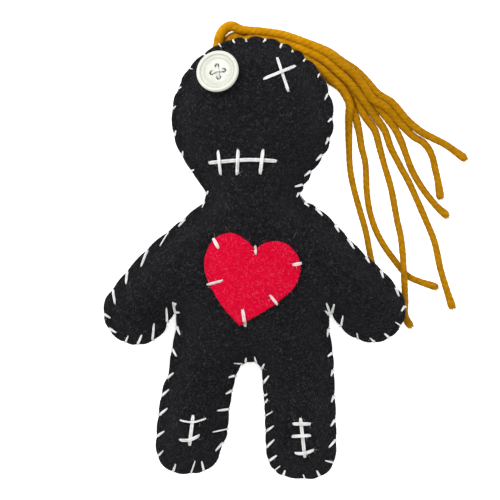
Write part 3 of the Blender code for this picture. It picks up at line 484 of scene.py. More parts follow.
def front_heights(points, seam):
    measures = in_chunks(edge_measures, points, seam.line)
    heights = SEAM_HEIGHT + RIM + soft_puff(measures)
    hills = unevenness(points, scale=9 * MM, size=0.35 * MM, seed=3.1)
    heights += hills + unevenness(points, scale=3 * MM, size=0.12 * MM, seed=7.7)
    heights += edge_puckers(points, seam, depth=0.4 * MM, reach=4.5 * MM)
    for start, end, width, depth in CREASES:
        heights += groove(points, spot(*start), spot(*end), width * MM, depth * MM)
    for stitches, width in MOTIFS:
        heights += motif_dimples(points, stitches, width)
    reach = np.linalg.norm(points - BUTTON_CENTRE, axis=1)
    heights += CUSHION * bell(reach, CUSHION_REACH)
    return heights + rounded_cut(in_chunks(nearest_gap, points, seam.rim()))


def back_heights(points, seam):
    measures = in_chunks(edge_measures, points, seam.line)
    drop = soft_puff(measures)
    drop += edge_puckers(points, seam, depth=0.3 * MM, reach=4.0 * MM)
    drop += unevenness(points, scale=9 * MM, size=0.3 * MM, seed=12.4)
    drop += rounded_cut(in_chunks(nearest_gap, points, seam.rim()))
    return np.maximum(0.0, SEAM_HEIGHT - RIM - drop)


class Surface:
    """A felt surface that thread and patches lie on."""

    def __init__(self, points, faces, under=None):
        self.under = under
        self.tree = BVHTree.FromPolygons([tuple(point) for point in points], faces)

    def meet(self, x, y, down=True):
        """Where a vertical line first meets the surface from above, or from below, and the normal there."""
        start = Vector((x, y, FAR if down else -FAR))
        place, normal, _, _ = self.tree.ray_cast(start, Vector((0, 0, -1 if down else 1)))
        return place, normal

    def height(self, x, y, reach=0.0):
        """The highest point of this surface, or of the one it lies on, within reach."""
        around = ((0, 0), (reach, 0), (-reach, 0), (0, reach), (0, -reach))
        found = [place.z for place in (self.meet(x + dx, y + dy)[0] for dx, dy in around) if place]
        if self.under:
            found.append(self.under.height(x, y, reach))
        return max(found)

    def foot(self, x, y):
        """The lowest surface's point and normal at a place, where a needle goes through."""
        return self.under.foot(x, y) if self.under else self.meet(x, y)


def new_object(name, data):
    """An object in the scene that holds the data."""
    obj = bpy.data.objects.new(name, data)
    bpy.context.scene.collection.objects.link(obj)
    return obj


def mesh_object(name, points, faces, look):
    mesh = bpy.data.meshes.new(name)
    mesh.from_pydata(np.asarray(points).tolist(), [], faces)
    mesh.shade_smooth()
    mesh.materials.append(look)
    return new_object(name, mesh)


def felt_object(name, points, faces, thickness, outward, look):
    """An open sheet of felt given its thickness, towards its outer side or away from it."""
    obj = mesh_object(name, points, faces, look)
    solid = obj.modifiers.new("Thickness", "SOLIDIFY")
    solid.thickness = thickness
    solid.offset = 1 if outward else -1
    return obj


# Each stitch is a list of places in millimetres, in the order in which the needle takes them
MOUTH = (
    millimetres((-15.5, 33.4), (-1.3, 34.4), (8.6, 34.0)),
    millimetres((3.7, 38.2), (2.6, 29.2)),
    millimetres((-5.4, 29.0), (-5.0, 38.2)),
    millimetres((-12.1, 37.8), (-11.1, 29.0)),
)
CROSS_EYE = (
    millimetres((8.5, 70.4), (12.6, 58.0)),
    millimetres((3.6, 62.5), (15.2, 67.4)),
)
LEFT_SCAR = (
    millimetres((-20.7, -54.4), (-22.0, -65.5)),
    millimetres((-25.7, -63.4), (-22.0, -63.3), (-18.3, -61.6)),
    millimetres((-16.2, -55.9), (-21.0, -57.1), (-25.4, -56.5)),
)
RIGHT_SCAR = (
    millimetres((16.7, -55.4), (18.3, -69.7)),
    millimetres((14.6, -68.0), (17.9, -68.0), (21.6, -66.8)),
    millimetres((20.5, -61.7), (13.5, -62.1)),
    millimetres((13.8, -57.7), (20.5, -57.7)),
)
HEART_STITCHES = (
    millimetres((-13.8, 7.2), (-11.7, 3.3)),
    millimetres((1.1, 1.3), (0.9, 4.6)),
    millimetres((17.3, -1.6), (13.7, -2.3)),
    millimetres((6.0, -12.6), (8.8, -16.2)),
    millimetres((-2.5, -23.9), (-3.5, -17.5)),
    millimetres((-10.2, -7.6), (-16.0, -9.2)),
)
MOTIFS = (
    (MOUTH, MOUTH_THREAD),
    (CROSS_EYE, CROSS_THREAD),
    (LEFT_SCAR, SCAR_THREAD),
    (RIGHT_SCAR, SCAR_THREAD),
    (HEART_STITCHES, HEART_THREAD),
)


def heart_outline(step):
    """A left and a right curve that meet in the notch and at the tip."""
    notch, tip = (0.7, 2.8), (-4.7, -23.3)
    left = millimetres(notch, (-1.6, 5.8), (-7.3, 8.8), (-12.7, 6.9), (-16.4, 0.6))
    left += millimetres((-16.2, -5.6), (-11.1, -15.5), tip)
    right = millimetres(tip, (1.7, -19.6), (8.9, -15.0), (15.4, -8.4), (16.3, -0.8))
    right += millimetres((11.7, 5.0), (4.6, 5.5), notch)
    return np.vstack([smooth_curve(left, step)[:-1], smooth_curve(right, step)[:-1]])[::-1]


def path_frames(points):
    """The direction and two cross directions at each point of a path, turning as little as they can."""
    points = np.asarray(points)
    ahead = np.gradient(points, axis=0)
    ahead /= np.maximum(np.linalg.norm(ahead, axis=1), 1e-12)[:, None]
    side = np.cross(ahead[0], (0, 0, 1))
    if np.linalg.norm(side) < 0.3:
        side = np.cross(ahead[0], (0, 1, 0))
    sides = []
    for direction in ahead:
        side = side - direction * (side @ direction)
        side = side / np.linalg.norm(side)
        sides.append(side)
    sides = np.array(sides)
    return ahead, sides, np.cross(sides, ahead)


def tube(path, turn, spread):
    """Rings of points round a path, at the given turns and distances from it."""
    _, side, up = path_frames(path)
    rings = path[:, None] + (np.cos(turn) * spread)[..., None] * side[:, None]
    return rings + (np.sin(turn) * spread)[..., None] * up[:, None]


class Spun:
    """Twisted thread and loose fibres in one mesh, with how far along and round each point lies."""

    def __init__(self, seed):
        self.points, self.faces, self.fibre, self.count = [], [], [], 0
        self.random = np.random.default_rng(seed)

    def add(self, rings, fibre):
        """A closed tube through rings of points, one row of the array for each ring."""
        length, sides, _ = rings.shape
        index = self.count + np.arange(length * sides).reshape(length, sides)
        here, after = index, np.roll(index, -1, axis=1)
        walls = np.stack([here[:-1], after[:-1], after[1:], here[1:]], axis=-1).reshape(-1, 4)
        self.faces += walls.tolist()
        self.faces += [index[0, ::-1].tolist(), index[-1].tolist()]
        self.points.append(rings.reshape(-1, 3))
        self.fibre.append(fibre.reshape(-1, 3))
        self.count += length * sides

    def strand(self, path, radius, pitch, sides, groove_depth, phase):
        """One strand spun from a few plies: a round section with a groove between each two plies."""
        reach = path_reach(path)
        around = np.arange(sides) * 2 * math.pi / sides
        lobe = np.abs(np.cos(PLIES * around / 2)) ** 0.7
        section = 1 - groove_depth + groove_depth * lobe
        turn = around[None] + 2 * math.pi * reach[:, None] / pitch + phase
        rings = tube(path, turn, radius[:, None] * section[None])
        along = reach[:, None] / MM
        # The third value is how deep in a groove between two plies the point lies; the looks paint shade
        # there.
        fibre = np.stack(np.broadcast_arrays(along, around, 1 - lobe), axis=-1)
        self.add(rings, fibre)

    def hairs(self, roots, directions, lifts, length, thickness, curl):
        """Loose fibres: each runs from its root in its direction, curls and tapers."""
        count = len(roots)
        if not count:
            return
        lengths = self.random.uniform(*length, count)
        share = np.linspace(0, 1, 5)
        bend = np.cross(directions, lifts) * self.random.normal(0, curl, count)[:, None]
        wave = self.random.normal(0, curl / 3, count)
        for number in range(count):
            run = share * lengths[number]
            line = roots[number] + run[:, None] * directions[number]
            line = line + (share**2 * lengths[number])[:, None] * bend[number]
            rise = np.sin(math.pi * share) * lengths[number] * wave[number]
            line = line + rise[:, None] * lifts[number]
            turn = np.arange(3) * 2 * math.pi / 3
            width = thickness / 2 * (1 - 0.6 * share)
            rings = tube(line, turn, width[:, None])
            rings[..., 2] = np.maximum(rings[..., 2], CONTACT)
            fibre = np.zeros(rings.shape)
            fibre[..., 0] = run[:, None] / MM
            self.add(rings, fibre)

    def object(self, name, look):
        obj = mesh_object(name, np.vstack(self.points), self.faces, look)
        kept = obj.data.attributes.new("fibre", "FLOAT_VECTOR", "POINT")
        kept.data.foreach_set("vector", np.vstack(self.fibre).ravel())
        return obj


def through_felt(surface, top, inward, thread):
    """The thread's middle just above and just below a needle hole, drawn a little towards its stitch."""
    above = top + inward * 0.35 * thread - Vector((0, 0, 0.3 * thread))
    place_on, normal = surface.foot(above.x, above.y)
    return above, place_on - normal * (FELT + 0.7 * thread)


def thread_over(stitch, surface, thread, bumps):
    """The thread's middle from hole to hole over the felt, with a hump over each thread that it crosses."""
    points = []
    for x, y in smooth_curve(stitch, STITCH_STEP):
        height = surface.height(x, y, thread / 4) + thread / 2 - SINK
        for place, other in bumps:
            gap = math.hypot(x - place[0], y - place[1])
            height += 0.75 * other * math.exp(-((gap / (thread / 2 + other)) ** 2))
        points.append(Vector((x, y, height)))
    return points


def motif_line(stitches, surface, thread, crossed):
    """One thread through all the stitches of a motif, with its ends inside the doll."""
    points = []
    for number, stitch in enumerate(stitches):
        bumps = [bump for owner, *bump in crossed if owner == number]
        over = thread_over(stitch, surface, thread, bumps)
        ahead = (over[-1] - over[0]).normalized()
        first_above, first_below = through_felt(surface, over[0], ahead, thread)
        last_above, last_below = through_felt(surface, over[-1], -ahead, thread)
        if points:
            start = points[-1]
            for share in (1 / 3, 2 / 3):
                points.append(start.lerp(first_below, share) - Vector((0, 0, thread / 2)))
        points += [first_below, first_above, *over[1:-1], last_above, last_below]
    return smooth_curve(points, THREAD_STEP)


def meeting(first, second):
    """Where two straight stitches cross."""
    (ax, ay), (bx, by) = first[0], first[-1]
    (cx, cy), (dx, dy) = second[0], second[-1]
    base = (bx - ax) * (dy - cy) - (by - ay) * (dx - cx)
    share = ((cx - ax) * (dy - cy) - (cy - ay) * (dx - cx)) / base
    return (ax + share * (bx - ax), ay + share * (by - ay))


def crossings_over(stitches, lower, uppers, thread):
    """The humps of the upper stitches over the lower one."""
    return [(upper, meeting(stitches[upper], stitches[lower]), thread) for upper in uppers]


def edge_line(seam, front, back):
    """One thread round the whole edge: over the front, down past the cut edges and under the back."""
    stand = EDGE_THREAD / 2 + CONTACT
    points = []
    for number, (hole, edge) in enumerate(zip(seam.holes, seam.edges)):
        outward = seam.outward[seam.crossings[number]]
        low = back.meet(*hole, down=False)[0].z
        points.append(Vector((*hole, low - stand)))
        for share in (0.0, 0.35, 0.7):
            x, y = hole + (edge - hole) * share
            points.append(Vector((x, y, front.height(x, y, EDGE_THREAD / 3) + stand - SINK)))
        x, y = edge - outward * 0.1 * MM
        points.append(Vector((x, y, SEAM_HEIGHT + RIM + 0.6 * stand)))
        x, y = edge + outward * (stand - SINK)
        points.append(Vector((x, y, SEAM_HEIGHT + 0.5 * RIM)))
        points.append(Vector((x, y, SEAM_HEIGHT - 0.5 * RIM)))
        if number + 1 < len(seam.holes):
            after = seam.holes[number + 1]
            x, y = edge - outward * 0.4 * MM
            points.append(Vector((x, y, SEAM_HEIGHT - RIM - 0.6 * stand)))
            x, y = (edge + after) / 2
            place = back.meet(x, y, down=False)[0]
            if place:
                points.append(Vector((x, y, place.z - stand + SINK)))
    return smooth_curve(points, THREAD_STEP)


def floss(name, line, holes, thread, look, seed, fuzz=0.0):
    """Two strands of floss side by side, drawn together where they go through the felt."""
    spun = Spun(seed)
    _, side, _ = path_frames(line)
    gaps = nearest_gap(line[:, :2], np.array(holes)) if len(holes) else np.full(len(line), FAR)
    open_share = np.clip(gaps / HOLE_REACH, 0, 1)
    spread = thread * (0.12 + 0.13 * open_share)
    radius = thread * (0.24 + 0.06 * open_share)
    for sign, phase in ((1, 0.0), (-1, 1.3)):
        path = line + side * (sign * spread)[:, None]
        spun.strand(path, radius, FLOSS_TWIST, sides=12, groove_depth=0.12, phase=phase)
    count = int(fuzz * path_reach(line)[-1] / MM)
    pick = spun.random.integers(1, len(line) - 1, count)
    ahead = unit(np.gradient(line, axis=0)[pick])
    lean = spun.random.normal(0, 1, (count, 3)) * (0.9, 0.9, 0.25)
    direction = ahead * spun.random.choice((-1, 1), count)[:, None] + lean
    direction[:, 2] = np.abs(direction[:, 2])
    up = np.tile(UP, (count, 1))
    roots = line[pick] + up * thread / 4
    fibres = {"length": (0.6 * MM, 2.2 * MM), "thickness": 0.05 * MM, "curl": 0.35}
    spun.hairs(roots, unit(direction), up, **fibres)
    return spun.object(name, look)


def button_frame(seam):
    """The button's axes: it leans the way the head slopes where it is sewn on."""
    x, y = BUTTON_CENTRE
    reach = BUTTON_DIAMETER / 4
    around = np.array([(x + reach, y), (x - reach, y), (x, y + reach), (x, y - reach)])
    around = puff(edge_measures(around, seam.line))
    downhill = Vector((around[1] - around[0], around[3] - around[2], 0)).normalized()
    lean = Matrix.Rotation(math.radians(BUTTON_LEAN), 3, Vector((0, 0, 1)).cross(downhill))
    return lean @ Matrix.Rotation(math.radians(BUTTON_TURN), 3, "Z")


def button_holes():
    """The four holes in the button's own axes, in the order in which the needle takes them."""
    turns = (90, 270, 0, 180)
    return [Vector(arc((0, 0), BUTTON_HOLE_CIRCLE, turn, turn, 1)[0]).to_3d() for turn in turns]


def evaluated_copy(obj, name):
    """A mesh object holding what the object's modifiers make of it."""
    bpy.context.view_layer.update()
    mesh = bpy.data.meshes.new_from_object(obj.evaluated_get(bpy.context.evaluated_depsgraph_get()))
    return new_object(name, mesh)


def turned(name, profile, steps):
    """A profile of (radius, height) pairs turned round the vertical axis."""
    mesh = bpy.data.meshes.new(name)
    sides = [(number, number + 1) for number in range(len(profile) - 1)]
    mesh.from_pydata([(x, 0, z) for x, z in profile], sides, [])
    obj = new_object(name, mesh)
    screw = obj.modifiers.new("Turn", "SCREW")
    screw.steps = screw.render_steps = steps
    screw.use_merge_vertices = True
    screw.merge_threshold = 0.002 * MM
    solid = evaluated_copy(obj, name + "_solid")
    bpy.data.objects.remove(obj, do_unlink=True)
    return solid


def button_object(axes, seat, look):
    """A turned four-hole button: a rounded rim, a moulded groove inside it, and a dished middle."""
    outer, top = BUTTON_DIAMETER / 2, BUTTON_THICKNESS
    inner = outer - BUTTON_RIM
    profile = [
        (0, BUTTON_DISH),
        (inner - 1.7 * MM, BUTTON_DISH + 0.02 * MM),
        (inner - 1.15 * MM, BUTTON_DISH + 0.18 * MM),
        (inner - 0.75 * MM, BUTTON_DISH + 0.42 * MM),
        (inner - 0.45 * MM, BUTTON_DISH + 0.46 * MM),
        (inner - 0.2 * MM, BUTTON_DISH + 0.36 * MM),
        (inner, BUTTON_DISH + 0.42 * MM),
        (inner + 0.12 * MM, top - 0.2 * MM),
        (inner + 0.3 * MM, top - 0.05 * MM),
        (inner + 0.55 * MM, top),
    ]
    profile += arc((outer - 0.6 * MM, top - 0.6 * MM), 0.6 * MM, 88, 2, 7)
    profile += [(outer, 1.5 * MM), (outer - 0.12 * MM, 1.1 * MM)]
    profile += [(outer - 0.35 * MM, 0.7 * MM), (outer - 0.8 * MM, 0.3 * MM), (outer - 1.6 * MM, 0), (0, 0)]
    button = turned("button", profile, BUTTON_STEPS)
    half = BUTTON_HOLE / 2
    flare = [(half + 0.35 * MM, 3 * MM), (half + 0.3 * MM, BUTTON_DISH + 0.05 * MM)]
    flare += [(half + 0.1 * MM, BUTTON_DISH - 0.12 * MM), (half, BUTTON_DISH - 0.4 * MM)]
    flare += [(half, 0.3 * MM), (half + 0.15 * MM, -1 * MM)]
    drill = turned("drill", [(0, 3 * MM), *flare, (0, -1 * MM)], HOLE_STEPS)
    drills = bmesh.new()
    for hole in button_holes():
        copy = drill.data.copy()
        copy.transform(Matrix.Translation(hole))
        drills.from_mesh(copy)
        bpy.data.meshes.remove(copy)
    mesh = bpy.data.meshes.new("drills")
    drills.to_mesh(mesh)
    drills.free()
    cutter = new_object("drills", mesh)
    cut = button.modifiers.new("Holes", "BOOLEAN")
    cut.object = cutter
    made = evaluated_copy(button, "button")
    for helper in (button, drill, cutter):
        bpy.data.objects.remove(helper, do_unlink=True)
    made.name = "ivory_button"
    made.data.materials.clear()
    made.data.materials.append(look)
    made.data.transform(Matrix.Translation(seat) @ axes.to_4x4())
    made.data.shade_smooth()
    made.data.set_sharp_from_angle(angle=math.radians(SHARP_ANGLE))
    return made


def button_line(axes, seat):
    """One thread up through each hole of the button and down the opposite one, crossing in the middle."""
    normal = axes @ Vector((0, 0, 1))
    stand = BUTTON_THREAD / 2 + CONTACT
    holes = [seat + axes @ hole for hole in button_holes()]
    middle = seat + normal * (BUTTON_DISH + stand)

    def pass_over(first, last, hump):
        """Up one hole, over the middle and down the other."""
        ends = [hole - normal * 1.6 * MM for hole in (first, last)]
        lips = [hole + normal * (BUTTON_DISH - 0.35 * MM) for hole in (first, last)]
        tops = [lip.lerp(middle, 0.38) + normal * 0.3 * MM for lip in lips]
        return [ends[0], lips[0], tops[0], middle + normal * hump, tops[1], lips[1], ends[1]]

    points = pass_over(holes[0], holes[1], 0.0) + pass_over(holes[2], holes[3], 0.7 * BUTTON_THREAD)
    return smooth_curve(points, THREAD_STEP)


# Each length of yarn from behind the head to its free end, in millimetres
YARN_ROUTES = {
    "yarn_strand_1": [
        *millimetres((-0.2, 73.7, 5.6), (3.5, 74.0, 4.4)),
        *level(
            ON_YARN, (9.0, 73.1), (16.7, 70.5), (23.3, 66.8), (27.3, 63.3), (30.8, 60.0), (33.3, 56.4),
            (34.1, 53.4),
        ),
        *millimetres((33.9, 50.2, 2.5), (33.8, 46.9, 1.3)),
        *level(
            RESTING, (33.9, 39.0), (34.3, 31.3), (35.7, 24.0), (37.7, 16.8), (39.7, 9.7), (41.1, 2.6),
            (42.2, -3.3), (43.0, -5.8),
        ),
    ],
    "yarn_strand_2": [
        *level(
            RESTING, (5.4, 70.9), (8.4, 70.5), (15.7, 68.1), (22.5, 65.5), (26.9, 62.5), (30.7, 60.0),
            (33.2, 56.4), (34.7, 53.2), (36.1, 50.0), (36.9, 46.9), (37.6, 43.6), (38.3, 39.0),
            (39.5, 34.3), (39.9, 29.2), (40.1, 24.0), (41.1, 16.8), (43.4, 9.7), (46.3, 4.3), (49.9, -0.7),
            (52.7, -4.2), (55.1, -6.5), (59.0, -8.2), (64.6, -10.0),
        ),
    ],
    "yarn_strand_3": [
        *level(
            RESTING, (-5.8, 72.6), (-1.6, 74.2), (3.5, 74.0), (9.0, 73.1), (16.7, 70.5), (23.8, 67.7),
            (28.3, 64.6), (32.4, 62.0), (35.5, 57.9), (37.7, 53.1), (40.0, 49.2), (42.9, 45.0),
            (44.6, 39.0), (46.4, 32.4), (47.8, 27.8), (48.8, 24.0), (50.8, 13.3),
        ),
        *millimetres(
            (52.0, 7.9, 1.7), (52.6, 2.6, 3.0), (52.9, -1.2, 3.8), (53.1, -4.4, 3.9), (53.3, -7.9, 3.1),
            (53.5, -11.7, 1.9),
        ),
        *level(RESTING, (53.7, -15.6), (53.5, -18.7), (54.1, -21.5), (55.6, -23.8)),
    ],
    "yarn_strand_4": [
        *millimetres((-7.2, 73.0, 5.6), (-4.4, 75.1, 4.4)),
        *level(
            ON_YARN, (-0.9, 76.6), (3.8, 76.5), (9.4, 75.6), (17.7, 72.9), (24.8, 69.5), (29.2, 65.9),
            (33.0, 62.6), (36.7, 58.4),
        ),
        *millimetres((40.2, 53.8, 2.5)),
        *level(
            RESTING, (44.0, 48.5), (46.4, 45.0), (48.5, 39.0), (50.9, 34.3), (52.5, 31.2), (54.4, 27.8),
            (56.4, 23.6), (60.4, 14.5), (63.9, 5.8), (66.0, -3.7), (68.6, -12.3), (70.2, -17.3),
        ),
    ],
    "yarn_strand_5": [
        *level(
            RESTING, (-13.8, 66.3), (-11.5, 68.9), (-10.1, 71.4), (-9.1, 74.2), (-7.9, 76.5), (-5.9, 77.5),
            (-3.9, 77.3), (3.8, 76.5), (9.4, 75.6), (17.7, 72.9), (25.1, 70.0), (29.8, 66.8), (34.0, 64.1),
            (38.2, 59.9), (41.8, 55.6), (45.2, 51.8), (47.8, 48.7), (50.3, 45.0), (52.4, 40.6),
            (54.1, 35.9), (55.9, 31.2), (57.7, 27.8), (60.4, 23.6), (64.6, 18.4), (68.4, 14.9),
        ),
    ],
    "yarn_strand_6": [
        *millimetres((-17.3, 66.3, 5.6), (-14.7, 69.3, 4.6)),
        *level(
            ON_YARN, (-12.8, 71.9), (-11.9, 74.7), (-11.4, 77.4), (-9.8, 80.0), (-7.4, 81.2), (-3.8, 79.9),
            (4.2, 79.1), (10.0, 78.2), (18.7, 75.3), (26.1, 71.9), (30.8, 68.3), (34.9, 65.1), (38.8, 60.5),
            (42.1, 55.9),
        ),
        *millimetres((46.7, 53.1, 2.6)),
        *level(
            RESTING, (52.9, 46.4), (56.7, 42.7), (59.7, 40.9), (61.7, 38.7), (63.2, 35.5), (64.2, 31.2),
            (65.0, 27.8), (66.0, 21.2),
        ),
    ],
    "yarn_strand_7": [
        *level(
            RESTING, (-19.8, 63.2), (-17.3, 66.3), (-14.7, 69.3), (-12.8, 71.9), (-11.9, 74.7),
            (-11.4, 77.4), (-9.8, 80.0), (-7.4, 81.2), (-3.8, 79.9), (4.2, 79.1), (10.0, 78.2),
            (18.7, 75.3), (26.4, 72.3), (31.3, 68.9), (35.7, 66.1), (40.1, 61.8), (43.8, 57.7),
            (48.6, 54.8), (54.6, 48.3), (59.4, 44.4), (63.5, 42.2), (67.6, 40.1), (71.2, 37.6),
            (74.7, 35.0),
        ),
    ],
}


def yarn_object(name, route, look, seed):
    """A length of three-ply yarn with loose fibres along it and a frayed cut end."""
    line = smooth_curve(route, YARN_STEP)
    share = np.clip((line[:, 1] - HEAD_CENTRE[1]) / HEAD_RADIUS, 0, 1)[:, None]
    line[:, :2] += (line[:, :2] - HEAD_CENTRE) * (YARN_SPREAD - 1) * share
    reach = path_reach(line)
    left = reach[-1] - reach
    flare = 1 + FRAY * bell(left, FRAY_REACH) - END_ROUNDING * bell(left, END_REACH)
    wander = np.array([noise.noise(Vector((seed, place / WANDER_LENGTH, 0))) for place in reach])
    start, end = HANK_START
    together = np.clip((line[:, 1] - start) / (end - start), 0, 1)
    start, end = LOOP_START
    folded = np.clip((line[:, 0] - start) / (end - start), 0, 1)
    loose = YARN_LOFT + LOFT_STEP * seed
    loft = loose + (HANK_LOFT - loose) * together + LOOP_LOFT * folded
    radius = YARN / 2 * loft * (flare + WANDER * wander)
    line[:, 2] = np.maximum(line[:, 2] * YARN_LIFT, radius + CONTACT)
    length = path_reach(line)[-1]
    spun = Spun(seed)
    spun.strand(line, radius, YARN_TWIST, sides=20, groove_depth=0.07, phase=seed * 1.7)
    ahead, side, up = path_frames(line)
    count = int(FIBRES_PER_MM * length / MM)
    pick = spun.random.integers(4, len(line) - 4, count)
    turn = spun.random.uniform(0, 2 * math.pi, count)[:, None]
    out = np.cos(turn) * side[pick] + np.sin(turn) * up[pick]
    direction = ahead[pick] * spun.random.choice((-1, 1), count)[:, None] + 0.45 * out
    direction += spun.random.normal(0, 1, (count, 3)) * (0.2 + 0.4 * together[pick, None])
    direction = unit(direction)
    roots = line[pick] + out * radius[pick, None] * 0.9
    keep = (roots[:, 2] > 0.9 * MM) | (direction[:, 2] > 0.25)
    fibres = {"length": (0.35 * MM, 1.0 * MM), "thickness": 0.06 * MM, "curl": 0.3}
    spun.hairs(roots[keep], direction[keep], out[keep], **fibres)
    turn = spun.random.uniform(0, 2 * math.pi, END_FIBRES)[:, None]
    spread = np.sqrt(spun.random.uniform(0, 0.8, END_FIBRES))[:, None] * YARN / 2 * YARN_LOFT * 1.2
    out = np.cos(turn) * side[-1] + np.sin(turn) * up[-1]
    direction = ahead[-1] + 0.3 * out * spread / YARN
    direction = unit(direction + spun.random.normal(0, 0.14, (END_FIBRES, 3)))
    roots = line[-1] - ahead[-1] * 0.6 * MM + out * spread
    keep = roots[:, 2] + direction[:, 2] * 1.5 * MM > 0.3 * MM
    fibres = {"length": (0.7 * MM, 1.6 * MM), "thickness": 0.14 * MM, "curl": 0.15}
    spun.hairs(roots[keep], direction[keep], out[keep], **fibres)
    obj = spun.object(name.replace("strand", "length"), look)
    return obj


def felt_fuzz(name, obj, count, look, seed, length):
    """Loose fibres lying on a felt surface, hardly lifted from it."""
    spun = Spun(seed)
    points = np.array([tuple(vertex.co) for vertex in obj.data.vertices])
    normals = np.array([tuple(vertex.normal) for vertex in obj.data.vertices])
    pick = spun.random.integers(0, len(points), count)
    normal = normals[pick]
    direction = unit(np.cross(normal, spun.random.normal(0, 1, (count, 3))))
    direction += normal * spun.random.uniform(-0.02, 0.22, count)[:, None]
    roots = points[pick] + normal * 0.02 * MM
    spun.hairs(roots, direction, normal, length, thickness=0.05 * MM, curl=0.5)
    return spun.object(name, look)


def edge_fuzz(name, seam, count, look, seed):
    """Short fibres standing out from the cut edges of both panels."""
    spun = Spun(seed)
    rim = seam.rim()
    pick = spun.random.integers(0, len(rim), count)
    levels = spun.random.uniform(-RIM, RIM, count) + SEAM_HEIGHT
    roots = np.column_stack([rim[pick] - seam.outward[pick] * 0.15 * MM, levels])
    direction = np.column_stack([seam.outward[pick], np.zeros(count)])
    direction = unit(direction + spun.random.normal(0, 0.5, (count, 3)))
    fibres = {"length": (0.35 * MM, 1.1 * MM), "thickness": 0.05 * MM, "curl": 0.4}
    spun.hairs(roots, direction, np.tile(UP, (count, 1)), **fibres)
    return spun.object(name, look)


# Materials


def add_node(tree, kind, inputs=None, **settings):
    """A shader node with its settings, and its inputs set or linked."""
    made = tree.nodes.new(kind)
    for name, value in settings.items():
        setattr(made, name, value)
    for name, value in (inputs or {}).items():
        if isinstance(value, bpy.types.NodeSocket):
            tree.links.new(value, made.inputs[name])
        else:
            made.inputs[name].default_value = value
    return made


def new_look(name):
    look = bpy.data.materials.new(name)
    look.use_nodes = True
    return look, look.node_tree, look.node_tree.nodes["Principled BSDF"]


def ramp(tree, value, *stops):
    """A colour ramp through (position, colour) stops."""
    made = add_node(tree, "ShaderNodeValToRGB", {"Fac": value})
    elements = made.color_ramp.elements
    while len(elements) < len(stops):
        elements.new(0.5)
    for element, (position, colour) in zip(elements, stops):
        element.position = position
        element.color = (*colour, 1)
    return made.outputs["Color"]


def grey(value):
    return (value, value, value)


def set_inputs(shader, values):
    for name, value in values.items():
        shader.inputs[name].default_value = value


def maths(tree, operation, *values):
    return add_node(tree, "ShaderNodeMath", dict(enumerate(values)), operation=operation).outputs[0]


def object_place(tree):
    return add_node(tree, "ShaderNodeTexCoord").outputs["Object"]


def noise_value(tree, place, scale, detail, roughness=0.5):
    inputs = {"Vector": place, "Scale": scale, "Detail": detail, "Roughness": roughness}
    return add_node(tree, "ShaderNodeTexNoise", inputs).outputs["Fac"]


def add_bump(tree, shader, strength, distance, height):
    inputs = {"Strength": strength, "Distance": distance, "Height": height}
    bump = add_node(tree, "ShaderNodeBump", inputs)
    tree.links.new(bump.outputs[0], shader.inputs["Normal"])


def mix(tree, share, first, second, kind="MIX"):
    made = add_node(tree, "ShaderNodeMix", data_type="RGBA", blend_type=kind)
    wanted = ((made.inputs[0], share), (made.inputs[6], first), (made.inputs[7], second))
    for socket, value in wanted:
        if isinstance(value, bpy.types.NodeSocket):
            tree.links.new(value, socket)
        else:
            socket.default_value = value if socket == made.inputs[0] else (*value, 1)
    return made.outputs[2]


def stretched_noise(tree, place, angle, across, along):
    """Streaks of noise at an angle: across and along are how fine they are, in features per metre."""
    turn = {"Vector": place, "Rotation": (0.3, 0.2, math.radians(angle))}
    turned_place = add_node(tree, "ShaderNodeMapping", turn).outputs[0]
    stretch = {"Vector": turned_place, "Scale": (across, along, across)}
    streaks = add_node(tree, "ShaderNodeMapping", stretch).outputs[0]
    return noise_value(tree, streaks, 1.0, 2.0, 0.6)


def felt_look(name, dark, base, light, speck, sheen, sheen_colour):
    """Pressed wool or acrylic felt: matted streaks in several directions, flecks, and a soft nap."""
    look, tree, shader = new_look(name)
    place = object_place(tree)
    cloud = noise_value(tree, place, 75.0, 4.0, 0.6)
    grain = noise_value(tree, place, 900.0, 5.0, 0.7)
    streaks = [stretched_noise(tree, place, angle, 1900.0, 420.0) for angle in (15, 75, 132)]
    top = maths(tree, "MAXIMUM", maths(tree, "MAXIMUM", streaks[0], streaks[1]), streaks[2])
    colour = mix(tree, ramp(tree, cloud, (0.35, grey(0)), (0.65, grey(1))), dark, base)
    colour = mix(tree, ramp(tree, grain, (0.42, grey(0)), (0.68, grey(0.8))), colour, light)
    colour = mix(tree, ramp(tree, top, (0.6, grey(0)), (0.78, grey(0.85))), colour, speck)
    tree.links.new(colour, shader.inputs["Base Color"])
    add_bump(tree, shader, 0.55, 0.25 * MM, maths(tree, "ADD", grain, top))
    set_inputs(shader, {"Roughness": 0.95, "Specular IOR Level": 0.03, "Sheen Weight": sheen})
    set_inputs(shader, {"Sheen Roughness": 0.55, "Sheen Tint": (*sheen_colour, 1)})
    return look


